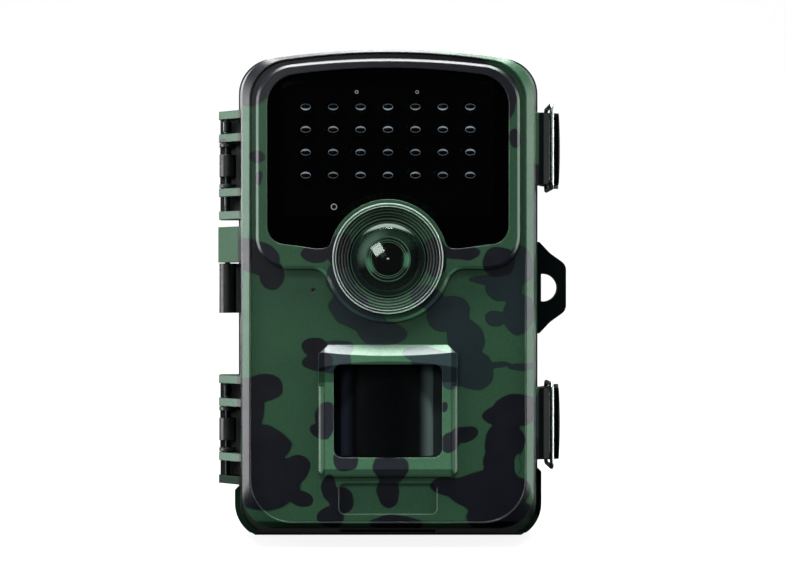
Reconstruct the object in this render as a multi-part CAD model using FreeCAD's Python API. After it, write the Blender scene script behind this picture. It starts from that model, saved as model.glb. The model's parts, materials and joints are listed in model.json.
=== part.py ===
"""Trail camera: a clamshell case whose camera half swings on side hinges and shuts with wire latches.

Millimetres. +X is to the right as seen from the front, +Y runs from the lens towards the tree, +Z is up.
The origin is the mouth of the tripod socket, on the flat underside of the rear housing.
"""
import FreeCAD
import Part
import math
import os

V = FreeCAD.Vector

# ---- Driving dimensions of the case --------------------------------------------------------------
HEIGHT = 140.4                       # underside to the crown of the top
SEAM_Y = -17.0                       # plane where the two halves meet
BACK_Y = 15.0                        # flat back of the rear housing
RIM_Y = -47.0                        # front edge of the front housing
WALL = 2.2
TOP_RISE = 3.8                       # how far the crown of the top stands above its corners

# A case section is (depth y, half width, lowest z, highest z, rise of the crown, top corner radius,
# bottom corner radius, and how much of the bottom corners' arcs the flat base cuts off).
REAR_BACK = (BACK_Y, 41.4, -0.4, HEIGHT - 2.5, TOP_RISE, 10.0, 9.0, 0.0)
REAR_SEAM = (SEAM_Y, 43.3, -0.4, HEIGHT, TOP_RISE, 10.4, 9.6, 0.6)
FRONT_SEAM = (SEAM_Y, 42.9, 0.1, HEIGHT - 0.4, TOP_RISE, 10.2, 9.2, 0.6)
FRONT_SHOULDER = (RIM_Y + 1.3, 40.3, 5.0, 137.5, TOP_RISE, 10.2, 9.6, 0.0)
FRONT_BASE_Z = (0.4, 5.3)            # height of the front half's sloping base at the seam and the shoulder
FRONT_RIM = (RIM_Y, 38.3, 6.5, 136.8, TOP_RISE, 11.2, 12.0, 0.0)
SKIRT = (44.1, 10.4, 0.8)            # half width, corner radius and cut of the wider band at the foot
SKIRT_TOP = (14.2, 19.4)             # how high the skirt reaches on the hinge and the latch side
SKIRT_DEPTH = 5.0

FACE_Y = RIM_Y + 1.1                 # flat face, set back inside the rim
FACE_BACK_Y = FACE_Y + 2.4           # inside of the face
PAD_BACK_Y = FACE_Y + 4.7            # inside of the thicker patch behind the window and lens
RIM_LAND = 0.3                       # width of the flat crest of the rim
FLANGE = 4.8                         # width of the sealing flange at the seam
FLANGE_DEPTH = 3.5
GASKET_INSET = (1.7, 3.4)
GASKET_PROUD = 0.5
GASKET_DEPTH = 1.6

# ---- Hinges on the left side ---------------------------------------------------------------------
HINGE_X = -46.6                      # hinge axis, on the seam plane
BARREL_R = 2.4
PIN_R = 0.8
RUNNING_GAP = 0.05                   # radial clearance of a pin in a moving knuckle
HINGE_SPANS = ((91.4, 122.6), (15.2, 46.4))   # lowest and highest point of the upper and lower hinge
FORK_H = 8.9                         # height of a front fork: two ribs and the cell between them
RIB_H = 2.3
AXIAL_GAP = 0.3
MIDDLE_LUG_Z = (79.0, 89.2)          # front housing's middle knuckle
MIDDLE_BARREL_Z = (64.4, 78.7)       # rear housing's middle knuckle, below it
GUARD_X = -49.0                      # outer edge of the guard plates behind the hinges
GUARD_Y = (SEAM_Y + 4.4, SEAM_Y + 6.4)

# ---- Latches on the right side -------------------------------------------------------------------
LATCH_Z = (112.2, 32.1)              # mid height of the upper and lower lever
CATCH_Z = (111.4, 32.9)              # mid height of their catches
CATCH_HALF_H = 10.2
LEVER_HALF_H = 10.4
LEVER_PIVOT = (46.0, -12.5)
LEVER_OUT = 4.15                     # outer face of the lever, from its pivot
LEVER_LENGTH = 26.0
LEVER_SHEET = 1.45
LEVER_CROWN_R = 140.0                # the outer face bows outwards over its height
BAIL_PIVOT = (46.6, -5.0)
WIRE_R = 0.6
CROSSBAR = (46.85, -25.0)
BAIL_HALF_H = 11.9
CATCH_OUT = 46.1                     # outer face of the catch block
LATCH_PIN_R = 0.9

# ---- Padlock lugs --------------------------------------------------------------------------------
LUG_Z = 71.7
LUG_HOLE = (45.0, 4.0)               # centre x and radius
LUG_HOLE_FLAT_X = 44.1
LUG_OUT_X = 51.3
LUG_T = 3.6

# ---- Lens ----------------------------------------------------------------------------------------
LENS_Z = 79.6                        # height of the optical axis
LENS_RING_R = 15.3
LENS_FLANGE_R = 17.6
APERTURE_R = 10.9
DOME_R = 20.0
DOME_TIP_Y = -48.6
BARREL_FRONT_Y = -42.6
HOLDER_Y = (-35.0, -29.0)
FILTER_Y = (-31.2, -30.7)
FILTER_TRAVEL = 6.0

# ---- Infrared window and its frame ---------------------------------------------------------------
FRAME_Y = FACE_Y - 2.0
FRAME_HALF_W = 36.5
FRAME_Z = (76.8, 134.9)
FRAME_BEVEL = 0.8
WINDOW_HALF_W = 33.4
WINDOW_Z = (84.2, 132.3)
WINDOW_DIP = 1.8                     # how far the window's lower edge falls towards the lens
WINDOW_LENS_R = 16.4
WINDOW_Y = (FACE_Y + 0.6, FACE_Y + 2.4)
WINDOW_LEDGE = 2.0

LED_BOARD_Y = (-36.8, -35.2)
LED_PITCH = (7.62, 6.35)
LED_COUNT = (7, 4)
LED_TOP_Z = 121.9
LED_R = 2.5
STATUS_LED = (-15.0, 94.1)
LIGHT_SENSORS = ((-8.7, 126.0), (8.1, 126.0))
MIC = (-20.7, 70.9)

# ---- Movement sensor -----------------------------------------------------------------------------
PIR_HALF_W = 19.1
PIR_Z = (19.3, 55.8)
PIR_OPEN_HALF_W = 15.0
PIR_OPEN_Z = (24.7, 50.5)
PIR_BROW_Y = FACE_Y - 4.8
PIR_BLOCK_R = 200.0                  # plan radius of the block's bowed front
PIR_SIDE_BEVEL = 1.4
PIR_BROW_Z = 45.5                    # where the brow begins to stand out
PIR_LENS_R = 16.5
PIR_LENS_TIP_Y = FACE_Y - 2.0
PIR_LENS_T = 0.9
PIR_BOARD_Y = (-34.6, -33.2)
PIR_MID_Z = (PIR_OPEN_Z[0] + PIR_OPEN_Z[1]) / 2
LABEL = (13.6, 8.9, 17.4)            # blank recess: half width, lowest z, highest z

# ---- Inside the front half -----------------------------------------------------------------------
BOARD_Y = (-24.5, -22.9)
BOARD_HALF_W = 33.0
BOARD_Z = (9.5, 130.0)
PANEL_Y = (-19.7, -17.7)
PANEL_INSET = 5.2
PANEL_SCREWS = [(side * 35.8, z) for side in (-1, 1) for z in (16.0, 56.0, 120.0)]
BOARD_SCREWS = [(side * 30.0, z) for side in (-1, 1) for z in (13.0, 72.0)]
LED_SCREWS = [(side * 24.0, 80.5) for side in (-1, 1)]
LCD_Z = (81.0, 118.0)
LCD_HALF_W = 23.5
KEY_R = 3.2
KEY_TRAVEL = 0.5
KEYS = {
    "key_up": (15.0, 59.5),
    "key_down": (15.0, 40.5),
    "key_left": (5.5, 50.0),
    "key_right": (24.5, 50.0),
    "key_ok": (15.0, 50.0),
    "key_menu": (5.5, 70.0),
    "key_shot": (24.5, 70.0),
}
MODE_SWITCH = (-19.0, 67.0)
MODE_TRAVEL = 4.0
SD_X = (-32.0, -5.0)
SD_Z = (26.0, 57.5)
SD_CARD = (24.0, 32.0, 2.1)
SPEAKER = (20.0, 24.5, 8.0)

# ---- Sockets under the front half ----------------------------------------------------------------
PORT_X = 14.0                        # half width of the recess
PORT_Y = (-36.0, -23.3)
PORT_FLOOR_Z = 5.8
PORT_PIVOT = (-24.7, 3.6)
DC_X, USB_X, SOCKET_Y = 6.5, -7.0, -30.0

# ---- Inside the rear half ------------------------------------------------------------------------
CELL_R = 7.1
CELL_L = 49.2
CELL_NUB = 1.2
CELL_PITCH = 15.4
CELL_Y = 1.0
CELL_COLUMNS = 4
ROW_Z = (13.2, 71.6)                 # lower inside face of each row's bay
BAY_L = 56.4
TRAY_HALF_W = 32.6
TRAY_Y = (-6.6, 10.2)
TRAY_Z = (11.0, 130.2)
TRAY_SCREWS = [(side * 35.6, z) for side in (-1, 1) for z in (45.0, 96.0)]
DOOR_T = 1.8
LEAD_X, LEAD_Z = -35.6, 75.0         # where the battery lead crosses the seam

# ---- Tree bracket on the back --------------------------------------------------------------------
BRACKET_HALF_W = 38.0
BRACKET_Z = (18.0, 122.0)
BRACKET_T = 2.5
RAIL_X = (22.0, 30.0)
RAIL_DEPTH = 11.5
STRAP_SLOTS = ((28.0, 55.0), (85.0, 112.0))
STRAP_GAP = 4.6
BRACKET_SCREWS = [(side * 35.4, z) for side in (-1, 1) for z in (24.0, 116.0)]

TRIPOD_R = 2.55                      # bore of a quarter-inch camera thread
TRIPOD_DEPTH = 8.0
TRIPOD_NUT_R = 4.6
BOSS_R = 2.7
SCREW_R = 1.1


# ---- Small helpers -------------------------------------------------------------------------------
def box(x0, x1, y0, y1, z0, z1):
    return Part.makeBox(x1 - x0, y1 - y0, z1 - z0, V(x0, y0, z0))


def cyl_y(r, x, z, y0, y1):
    return Part.makeCylinder(r, y1 - y0, V(x, y0, z), V(0, 1, 0))


def cyl_z(r, x, y, z0, z1):
    return Part.makeCylinder(r, z1 - z0, V(x, y, z0), V(0, 0, 1))


def polygon(points):
    return Part.Face(Part.makePolygon(points + points[:1]))


def prism_xy(points, z0, z1):
    """A prism on a polygon of (x, y) points, from z0 to z1."""
    return polygon([V(x, y, z0) for x, y in points]).extrude(V(0, 0, z1 - z0))


def prism_xz(points, y0, y1):
    """A prism on a polygon of (x, z) points, from y0 to y1."""
    return polygon([V(x, y0, z) for x, z in points]).extrude(V(0, y1 - y0, 0))


def prism_yz(points, x0, x1):
    """A prism on a polygon of (y, z) points, from x0 to x1."""
    return polygon([V(x0, y, z) for y, z in points]).extrude(V(x1 - x0, 0, 0))


def turned(profile, x=0.0, z=0.0):
    """A solid of revolution about the line along Y through (x, z), from (radius, y) points."""
    face = polygon([V(x + r, y, z) for r, y in profile])
    return face.revolve(V(x, 0, z), V(0, 1, 0), 360)


def turned_z(profile, x=0.0, y=0.0):
    """A solid of revolution about the line along Z through (x, y), from (radius, z) points."""
    face = polygon([V(x + r, y, z) for r, z in profile])
    return face.revolve(V(x, y, 0), V(0, 0, 1), 360)


def edges_along(shape, axis, test=lambda e: True):
    """The straight edges that run along one axis and pass a test."""
    found = []
    for e in shape.Edges:
        if len(e.Vertexes) < 2:
            continue
        d = e.Vertexes[1].Point - e.Vertexes[0].Point
        if d.Length > 1e-6 and abs(getattr(d, axis)) > 0.999 * d.Length and test(e):
            found.append(e)
    return found


def edges_at(shape, axis, value, test=lambda e: True):
    """The edges that lie in the plane where one coordinate has the given value."""
    def lies(e):
        b = e.BoundBox
        low, high = getattr(b, axis + "Min"), getattr(b, axis + "Max")
        return abs(low - value) < 1e-3 and abs(high - value) < 1e-3
    return [e for e in shape.Edges if lies(e) and test(e)]


def slab(x0, x1, z0, z1, y0, y1, r):
    """A plate across Y with rounded corners."""
    b = box(x0, x1, y0, y1, z0, z1)
    return b.makeFillet(r, edges_along(b, "y"))


def slab_z(x0, x1, y0, y1, z0, z1, r):
    """A plate across Z with rounded corners."""
    b = box(x0, x1, y0, y1, z0, z1)
    return b.makeFillet(r, edges_along(b, "z"))


def fuse(*shapes):
    return shapes[0].multiFuse(list(shapes[1:])).removeSplitter()


def cut(shape, *tools):
    return shape.cut(list(tools)).removeSplitter()


def mirrored(shape):
    """A copy reflected to the other side of the middle plane."""
    return shape.mirror(V(0, 0, 0), V(1, 0, 0))


def moved(shape, x=0.0, y=0.0, z=0.0):
    copy = shape.copy()
    copy.translate(V(x, y, z))
    return copy


def pan_screw(x, z, seat_y, tip_y, head_r=2.0, head_h=1.2):
    """A cross-head screw along Y. The head rests on seat_y and the shank runs to tip_y."""
    s = -1 if tip_y > seat_y else 1
    top_y = seat_y + s * head_h
    head = cyl_y(head_r, x, z, min(seat_y, top_y), max(seat_y, top_y))
    head = head.makeFillet(0.45, edges_at(head, "Y", top_y))
    shank = cyl_y(SCREW_R, x, z, min(seat_y, tip_y), max(seat_y, tip_y))
    y0, y1 = sorted((top_y, top_y - s * 0.7))
    arm, half = 1.25, 0.25
    across = box(x - arm, x + arm, y0, y1, z - half, z + half)
    upright = box(x - half, x + half, y0, y1, z - arm, z + arm)
    return cut(fuse(head, shank), across, upright)


# ---- Case outline --------------------------------------------------------------------------------
def between(near, far, y):
    """The case section at one depth, on the straight draft between two others."""
    t = (y - near[0]) / (far[0] - near[0])
    return tuple(a + (b - a) * t for a, b in zip(near, far))


def inset(section, by):
    """A section drawn inwards by a margin."""
    y, half_w, z0, z1, rise, top_r, bottom_r, clip = section
    return (y, half_w - by, z0 + by, z1 - by, rise, max(top_r - by, 1.5), max(bottom_r - by, 1.5), clip)


def arc(centre, r, y, start, end):
    """An arc in the plane at depth y, from one angle to another."""
    def at(angle):
        return V(centre[0] + r * math.cos(angle), y, centre[1] + r * math.sin(angle))
    return Part.Arc(at(start), at((start + end) / 2), at(end)).toShape()


def section_wire(section):
    """The outline of a case section: flat sides and base, rounded corners and a crowned top."""
    y, half_w, z0, z1, rise, top_r, bottom_r, clip = section
    foot = (half_w - bottom_r, z0 - clip + bottom_r)
    foot_angle = -math.asin((bottom_r - clip) / bottom_r)
    crown_r = (half_w ** 2 + rise ** 2) / (2 * rise)
    crown_z = z1 - crown_r
    shoulder_x = half_w - top_r
    shoulder = (shoulder_x, crown_z + math.sqrt((crown_r - top_r) ** 2 - shoulder_x ** 2))
    shoulder_angle = math.acos(shoulder_x / (crown_r - top_r))
    half_turn = math.pi
    base_x = foot[0] + bottom_r * math.cos(foot_angle)
    edges = [Part.makeLine(V(-base_x, y, z0), V(base_x, y, z0)),
             arc(foot, bottom_r, y, foot_angle, 0),
             Part.makeLine(V(half_w, y, foot[1]), V(half_w, y, shoulder[1])),
             arc(shoulder, top_r, y, 0, shoulder_angle),
             arc((0, crown_z), crown_r, y, shoulder_angle, half_turn - shoulder_angle),
             arc((-shoulder_x, shoulder[1]), top_r, y, half_turn - shoulder_angle, half_turn),
             Part.makeLine(V(-half_w, y, shoulder[1]), V(-half_w, y, foot[1])),
             arc((-foot[0], foot[1]), bottom_r, y, half_turn, half_turn - foot_angle)]
    return Part.Wire(edges)


def case_block(*sections):
    """A solid through two or more case sections, with straight draft from each to the next."""
    return Part.makeLoft([section_wire(section) for section in sections], True, True)


def case_slice(near, far, y0, y1, by):
    """The part of a drafted case half between two depths, drawn inwards by a margin."""
    return case_block(*[inset(between(near, far, y), by) for y in (y0, y1)])


def straight_block(section, y0, y1, by):
    """A case section drawn inwards and extruded straight between two depths."""
    drawn = inset(section, by)[1:]
    return Part.Face(section_wire((y0,) + drawn)).extrude(V(0, y1 - y0, 0))


def seam_ring(section, y0, y1, outer, inner):
    """A ring that follows the seam between two insets."""
    return straight_block(section, y0, y1, outer).cut(straight_block(section, y0 - 1, y1 + 1, inner))


def skirt(section, y0, y1):
    """The wider band round the foot of the case at the seam, stepped lower on the hinge side."""
    half_w, corner_r, clip = SKIRT
    z0, z1, rise, top_r = section[2:6]
    band = straight_block((y0, half_w, z0, z1, rise, top_r, corner_r, clip), y0, y1, 0.0)
    band = band.cut(straight_block(section, y0 - 1, y1 + 1, WALL - 1.0))
    left, right = SKIRT_TOP
    side, wall = half_w + 1.0, half_w - 0.9
    outline = [(-side, -2), (side, -2), (side, right - 1.3), (wall, right), (30, right), (30, 8),
               (-30, 8), (-30, left), (-wall, left), (-side, left - 1.5)]
    return band.common(prism_xz(outline, y0 - 1, y1 + 1))


# ---- Hinge and latch details shared by both halves -----------------------------------------------
def knuckle(z0, z1, reach_x, side, bore_r, barrel_r=BARREL_R, run=9.0):
    """A hinge knuckle with a web that slopes back to the case wall. side is -1 in front, 1 behind."""
    x, y = HINGE_X, SEAM_Y
    gap = 0.1 * side
    web = [(x - barrel_r, y + gap), (x - barrel_r, y + side * 1.0), (reach_x, y + side * run),
           (reach_x, y + gap)]
    solid = fuse(cyl_z(barrel_r, x, y, z0, z1), prism_xy(web, z0, z1))
    return cut(solid, cyl_z(bore_r, x, y, z0 - 1, z1 + 1))


def fork_ribs(low, high):
    """The four rib heights of one hinge: two at its lower end and two at its upper end."""
    starts = (low, low + FORK_H - RIB_H, high - FORK_H, high - RIB_H)
    return [(z, z + RIB_H) for z in starts]


def lug_plate(y0, y1, root_x):
    """A padlock lug with a straight outer edge, sloping flanks and a D-shaped hole beside the wall."""
    half_root, half_tip = 13.2, 6.6
    outline = [(root_x, LUG_Z - half_root), (43.6, LUG_Z - half_root), (46.6, LUG_Z - half_tip - 3.4),
               (LUG_OUT_X, LUG_Z - half_tip), (LUG_OUT_X, LUG_Z + half_tip),
               (46.6, LUG_Z + half_tip + 3.4), (43.6, LUG_Z + half_root), (root_x, LUG_Z + half_root)]
    plate = prism_xz(outline, y0, y1)
    tips = edges_along(plate, "y", lambda e: e.CenterOfMass.x > LUG_OUT_X - 0.1)
    plate = plate.makeFillet(3.0, tips)
    knees = edges_along(plate, "y", lambda e: abs(e.CenterOfMass.x - 46.6) < 0.1)
    plate = plate.makeFillet(5.0, knees)
    hole = cyl_y(LUG_HOLE[1], LUG_HOLE[0], LUG_Z, y0 - 1, y1 + 1)
    hole = hole.common(box(LUG_HOLE_FLAT_X, LUG_OUT_X, y0 - 1, y1 + 1, LUG_Z - 9, LUG_Z + 9))
    return plate.cut(hole)


# ---- Rear half -----------------------------------------------------------------------------------
def rear_housing():
    shell = case_block(REAR_SEAM, REAR_BACK)
    shell = shell.makeFillet(3.5, edges_at(shell, "Y", BACK_Y))
    inside_back = BACK_Y - WALL
    cavity = case_slice(REAR_SEAM, REAR_BACK, SEAM_Y + FLANGE_DEPTH, inside_back, WALL)
    mouth = straight_block(REAR_SEAM, SEAM_Y - 1, SEAM_Y + FLANGE_DEPTH + 0.01, FLANGE)
    groove = seam_ring(REAR_SEAM, SEAM_Y - 1, SEAM_Y + GASKET_DEPTH, *GASKET_INSET)
    shell = cut(shell, cavity, mouth)

    adds = [cyl_z(TRIPOD_NUT_R + 2.4, 0, 0, 0, 10.6), skirt(REAR_SEAM, SEAM_Y, SEAM_Y + SKIRT_DEPTH)]
    adds += [cyl_y(BOSS_R, x, z, 5.0, inside_back + 0.5) for x, z in BRACKET_SCREWS]
    adds += [cyl_y(BOSS_R, x, z, TRAY_Y[0] + 2.2, inside_back + 0.5) for x, z in TRAY_SCREWS]
    for low, high in HINGE_SPANS:
        adds.append(knuckle(low + FORK_H + AXIAL_GAP, high - FORK_H - AXIAL_GAP, -42.2, 1, PIN_R))
        adds.append(box(GUARD_X, -42.2, GUARD_Y[0], GUARD_Y[1], low, high))
    adds.append(knuckle(MIDDLE_BARREL_Z[0], MIDDLE_BARREL_Z[1], -42.2, 1, PIN_R))
    for z in LATCH_Z:
        adds.append(latch_lug(z))
    adds.append(lug_plate(SEAM_Y + 0.15, SEAM_Y + 0.15 + LUG_T, 42.2))
    shell = fuse(shell, *adds)

    cuts = [groove, box(-60, 60, SEAM_Y - 1, BACK_Y + 1, -5, 0)]
    cuts += [cyl_z(TRIPOD_NUT_R, 0, 0, -1, 9.0), cyl_z(TRIPOD_NUT_R - 1.2, 0, 0, -1, 12)]
    cuts += [cyl_y(SCREW_R, x, z, 6.0, BACK_Y + 1) for x, z in BRACKET_SCREWS]
    cuts += [cyl_y(SCREW_R, x, z, TRAY_Y[0], 3.5) for x, z in TRAY_SCREWS]
    for low, high in HINGE_SPANS:
        for z in (low + FORK_H + AXIAL_GAP + 1.0, high - FORK_H - AXIAL_GAP - 3.2):
            cuts.append(box(HINGE_X - 3, HINGE_X + 2.4, SEAM_Y - 3, SEAM_Y + 1.2, z, z + 2.2))
    return cut(shell, *cuts)


def latch_lug(z):
    """The block on the rear half that carries a lever's pin."""
    x, y = LEVER_PIVOT
    half = LEVER_HALF_H - 2.0
    web = [(43.0, y - 1.9), (x, y - 1.7), (x, y + 1.7), (43.0, y + 4.0)]
    block = fuse(cyl_z(1.7, x, y, z - half, z + half), prism_xy(web, z - half, z + half))
    return cut(block, cyl_z(LATCH_PIN_R, x, y, z - half - 1, z + half + 1))


def tripod_nut():
    body = turned_z([(TRIPOD_R, 0), (TRIPOD_NUT_R, 0), (TRIPOD_NUT_R, 3.6), (TRIPOD_NUT_R - 0.5, 4.0),
                     (TRIPOD_NUT_R - 0.5, 5.0), (TRIPOD_NUT_R, 5.4), (TRIPOD_NUT_R, TRIPOD_DEPTH + 1.0),
                     (0, TRIPOD_DEPTH + 1.0), (0, TRIPOD_DEPTH), (TRIPOD_R, TRIPOD_DEPTH)])
    return body


def gasket():
    ring = seam_ring(REAR_SEAM, SEAM_Y - GASKET_PROUD, SEAM_Y + GASKET_DEPTH, *GASKET_INSET)
    return ring


def hinge_pins():
    pins = []
    for low, high in HINGE_SPANS:
        knurl = (high - RIB_H - 3.6, high - RIB_H - 0.4)
        profile = [(0, low + 0.6), (PIN_R, low + 0.6), (PIN_R, knurl[0]), (1.2, knurl[0] + 0.2),
                   (1.2, knurl[1] - 0.2), (PIN_R, knurl[1]), (PIN_R, high - 0.5), (0, high - 0.5)]
        pins.append(turned_z(profile, HINGE_X, SEAM_Y))
    z0, z1 = MIDDLE_BARREL_Z[0] + 0.5, MIDDLE_LUG_Z[1] - 0.5
    pins.append(cyl_z(PIN_R, HINGE_X, SEAM_Y, z0, z1))
    return Part.makeCompound(pins)


def tree_bracket():
    """A plate with two serrated rails that grip a trunk, and slots for a strap through the rails."""
    back = BACK_Y + BRACKET_T
    z0, z1 = BRACKET_Z
    plate = slab(-BRACKET_HALF_W, BRACKET_HALF_W, z0, z1, BACK_Y, back, 6.0)
    rim = edges_at(plate, "Y", back)
    plate = plate.makeFillet(0.8, rim)
    teeth, depth, sag = 17, 1.2, 1.6
    step = (z1 - z0 - 16.0) / teeth
    crest = [(back - 0.4, z0 + 5.0), (back + 4.0, z0 + 5.0)]
    for i in range(teeth + 1):
        z = z0 + 8.0 + i * step
        bow = sag * (1.0 - (2.0 * i / teeth - 1.0) ** 2)
        crest.append((BACK_Y + RAIL_DEPTH - bow, z))
        if i < teeth:
            crest.append((BACK_Y + RAIL_DEPTH - bow - depth, z + step / 2))
    crest += [(back + 4.0, z1 - 5.0), (back - 0.4, z1 - 5.0)]
    rail = prism_yz(crest, *RAIL_X)
    slots = [box(-60, 60, back, back + STRAP_GAP, low, high) for low, high in STRAP_SLOTS]
    rails = [r.cut(slots) for r in (rail, mirrored(rail))]
    reach = RAIL_X[0]
    ribs = [slab(-reach, reach, z - 1.5, z + 1.5, back - 0.4, back + 2.4, 0.6) for z in (60, 70, 80)]
    holes = [cyl_y(SCREW_R + 0.2, x, z, BACK_Y - 1, back + 1) for x, z in BRACKET_SCREWS]
    holes += [cyl_y(2.3, x, z, back - 1.3, back + 1) for x, z in BRACKET_SCREWS]
    return cut(fuse(plate, *rails, *ribs), *holes)


def bracket_screws():
    seat = BACK_Y + BRACKET_T - 1.3
    return Part.makeCompound([pan_screw(x, z, seat, 6.2) for x, z in BRACKET_SCREWS])


def column_x(i):
    return (i - (CELL_COLUMNS - 1) / 2) * CELL_PITCH


def battery_tray():
    """A trough for two rows of cells side by side, open towards the front."""
    tray = slab(-TRAY_HALF_W, TRAY_HALF_W, TRAY_Z[0], TRAY_Z[1], TRAY_Y[0], TRAY_Y[1], 2.0)
    cuts = []
    for row in ROW_Z:
        for i in range(CELL_COLUMNS):
            x = column_x(i)
            r = CELL_R + 0.25
            cuts.append(cyl_z(r, x, CELL_Y, row, row + BAY_L))
            cuts.append(box(x - r, x + r, TRAY_Y[0] - 1, CELL_Y, row, row + BAY_L))
    tray = cut(tray, *cuts)
    ears = [box(x - 3.2, x + 3.2, TRAY_Y[0], TRAY_Y[0] + 2.2, z - 4, z + 4) for x, z in TRAY_SCREWS]
    tray = fuse(tray, *ears)
    return cut(tray, *[cyl_y(SCREW_R + 0.2, x, z, TRAY_Y[0] - 1, 0) for x, z in TRAY_SCREWS])


def tray_screws():
    return Part.makeCompound([pan_screw(x, z, TRAY_Y[0], 3.0) for x, z in TRAY_SCREWS])


def cell_place(row, column):
    """The lower end of a cell's body, and whether its nub points up. Neighbours point opposite ways."""
    nub_up = column % 2 == 0
    plate, spring = 0.4, 4.8
    low = row + plate + (spring if nub_up else CELL_NUB)
    return low, nub_up


def aa_cells():
    cells = []
    for row in ROW_Z:
        for i in range(CELL_COLUMNS):
            low, nub_up = cell_place(row, i)
            ends = (low, low + CELL_L) if nub_up else (low + CELL_L, low)
            s = 1 if nub_up else -1
            cells.append(turned_z([(0, ends[0]), (CELL_R - 0.5, ends[0]), (CELL_R, ends[0] + s * 0.5),
                                   (CELL_R, ends[1] - s * 0.5), (CELL_R - 0.5, ends[1]), (2.7, ends[1]),
                                   (2.7, ends[1] + s * CELL_NUB), (0, ends[1] + s * CELL_NUB)],
                                  column_x(i), CELL_Y))
    return Part.makeCompound(cells)


def battery_contacts():
    """A flat plate at each end of each bay, and a coil spring under each cell's flat end."""
    coil_r, wire_r, turns, height = 3.4, 0.5, 3, 3.6
    helix = Part.makeHelix(height / turns, height, coil_r)
    start = Part.Wire(Part.makeCircle(wire_r, V(coil_r, 0, 0), V(0, 1, 0)))
    coil = Part.Wire(helix).makePipeShell([start], True, True)
    shapes = []
    for row in ROW_Z:
        for i in range(CELL_COLUMNS):
            x = column_x(i)
            low, nub_up = cell_place(row, i)
            y0, y1 = CELL_Y - 5, CELL_Y + 5
            shapes.append(box(x - 4.6, x + 4.6, y0, y1, row, row + 0.4))
            shapes.append(box(x - 4.6, x + 4.6, y0, y1, row + BAY_L - 0.4, row + BAY_L))
            spring_z = row + 0.4 + wire_r if nub_up else low + CELL_L + wire_r
            shapes.append(moved(coil, x, CELL_Y, spring_z + 0.02))
    return Part.makeCompound(shapes)


def battery_door():
    """The flat cover over the cells, with a finger latch at the top and shallow ribs."""
    y1 = TRAY_Y[0]
    y0 = y1 - DOOR_T
    door = slab(-TRAY_HALF_W, TRAY_HALF_W, TRAY_Z[0], TRAY_Z[1], y0, y1, 2.0)
    ribs = [slab(-22, 22, z - 0.8, z + 0.8, y0 - 0.8, y0 + 0.2, 0.5) for z in (30, 34, 38, 42, 46)]
    tab = slab(-7, 7, 116, 124, y0 - 1.6, y0 + 0.2, 2.5)
    return fuse(door, tab, *ribs)


def latch_lever(z):
    """A pressed lever: a bowed outer plate whose free end turns outwards, and two cheeks."""
    px, py = LEVER_PIVOT
    out = px + LEVER_OUT
    inner = out - LEVER_SHEET
    end = py + LEVER_LENGTH
    low, high = z - LEVER_HALF_H, z + LEVER_HALF_H
    plate_line = [(inner, py - 1.0), (out - 0.4, py - 1.0), (out, py), (out, end - 7), (out + 1.5, end),
                  (out + 0.3, end + 0.5), (inner, end - 6.4)]
    plate = prism_xy(plate_line, low, high)
    plate = plate.makeFillet(1.2, edges_along(plate, "x"))
    cheek_line = [(px - 1.5, py - 1.2), (px + 0.8, py - 1.9), (out - 0.5, py), (out - 0.5, end - 8),
                  (px + 1.6, end - 11), (px - 1.2, BAIL_PIVOT[1] + 1.6), (px - 1.5, py + 1.5)]
    cheeks = []
    for z0, z1 in ((low, low + 1.6), (high - 1.6, high)):
        cheeks.append(prism_xy(cheek_line, z0, z1))
    crown = Part.makeCylinder(LEVER_CROWN_R, 80, V(out - LEVER_CROWN_R, py - 20, z), V(0, 1, 0))
    inside = box(px - 10, inner, py - 20, end + 20, z - 20, z + 20)
    finger_end = box(px - 10, out + 10, end - 7, end + 20, z - 20, z + 20)
    lever = fuse(plate, *cheeks).common(crown.fuse([inside, finger_end]))
    pin_bore = cyl_z(LATCH_PIN_R + RUNNING_GAP, px, py, z - 20, z + 20)
    bail_bore = cyl_z(WIRE_R + RUNNING_GAP, BAIL_PIVOT[0], BAIL_PIVOT[1], z - 20, z + 20)
    return cut(lever, pin_bore, bail_bore)


def latch_bail(z):
    """A bent wire: a crossbar over the catch, two legs, and ends turned into the lever's cheeks."""
    bx, by = BAIL_PIVOT
    cx, cy = CROSSBAR
    r = 1.6
    top, low = z + BAIL_HALF_H, z - BAIL_HALF_H
    inner = LEVER_HALF_H - 1.6
    path = [V(bx, by, z + inner), V(bx, by, top - r), V(bx, by - r, top),
            V(cx, cy + r, top), V(cx, cy, top - r), V(cx, cy, low + r), V(cx, cy + r, low),
            V(bx, by - r, low), V(bx, by, low + r), V(bx, by, z - inner)]
    bend = r * (1 - math.sqrt(0.5))
    edges = []
    mids = {1: V(bx, by - bend, top - bend), 3: V(cx, cy + bend, top - bend),
            5: V(cx, cy + bend, low + bend), 7: V(bx, by - bend, low + bend)}
    for i in range(len(path) - 1):
        if i in mids:
            edges.append(Part.Arc(path[i], mids[i], path[i + 1]).toShape())
        else:
            edges.append(Part.makeLine(path[i], path[i + 1]))
    circle = Part.Wire(Part.makeCircle(WIRE_R, path[0], V(0, 0, 1)))
    return Part.Wire(edges).makePipeShell([circle], True, True)


def latch_pins():
    x, y = LEVER_PIVOT
    half = LEVER_HALF_H - 0.1
    return Part.makeCompound([cyl_z(LATCH_PIN_R, x, y, z - half, z + half) for z in LATCH_Z])


def cable(points, r=1.1):
    """A round lead through a list of points, with ball joints at its bends."""
    parts = []
    for a, b in zip(points[:-1], points[1:]):
        a, b = V(*a), V(*b)
        parts.append(Part.makeCylinder(r, (b - a).Length, a, b - a))
    parts += [Part.makeSphere(r, V(*p)) for p in points[1:-1]]
    return fuse(*parts)


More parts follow.
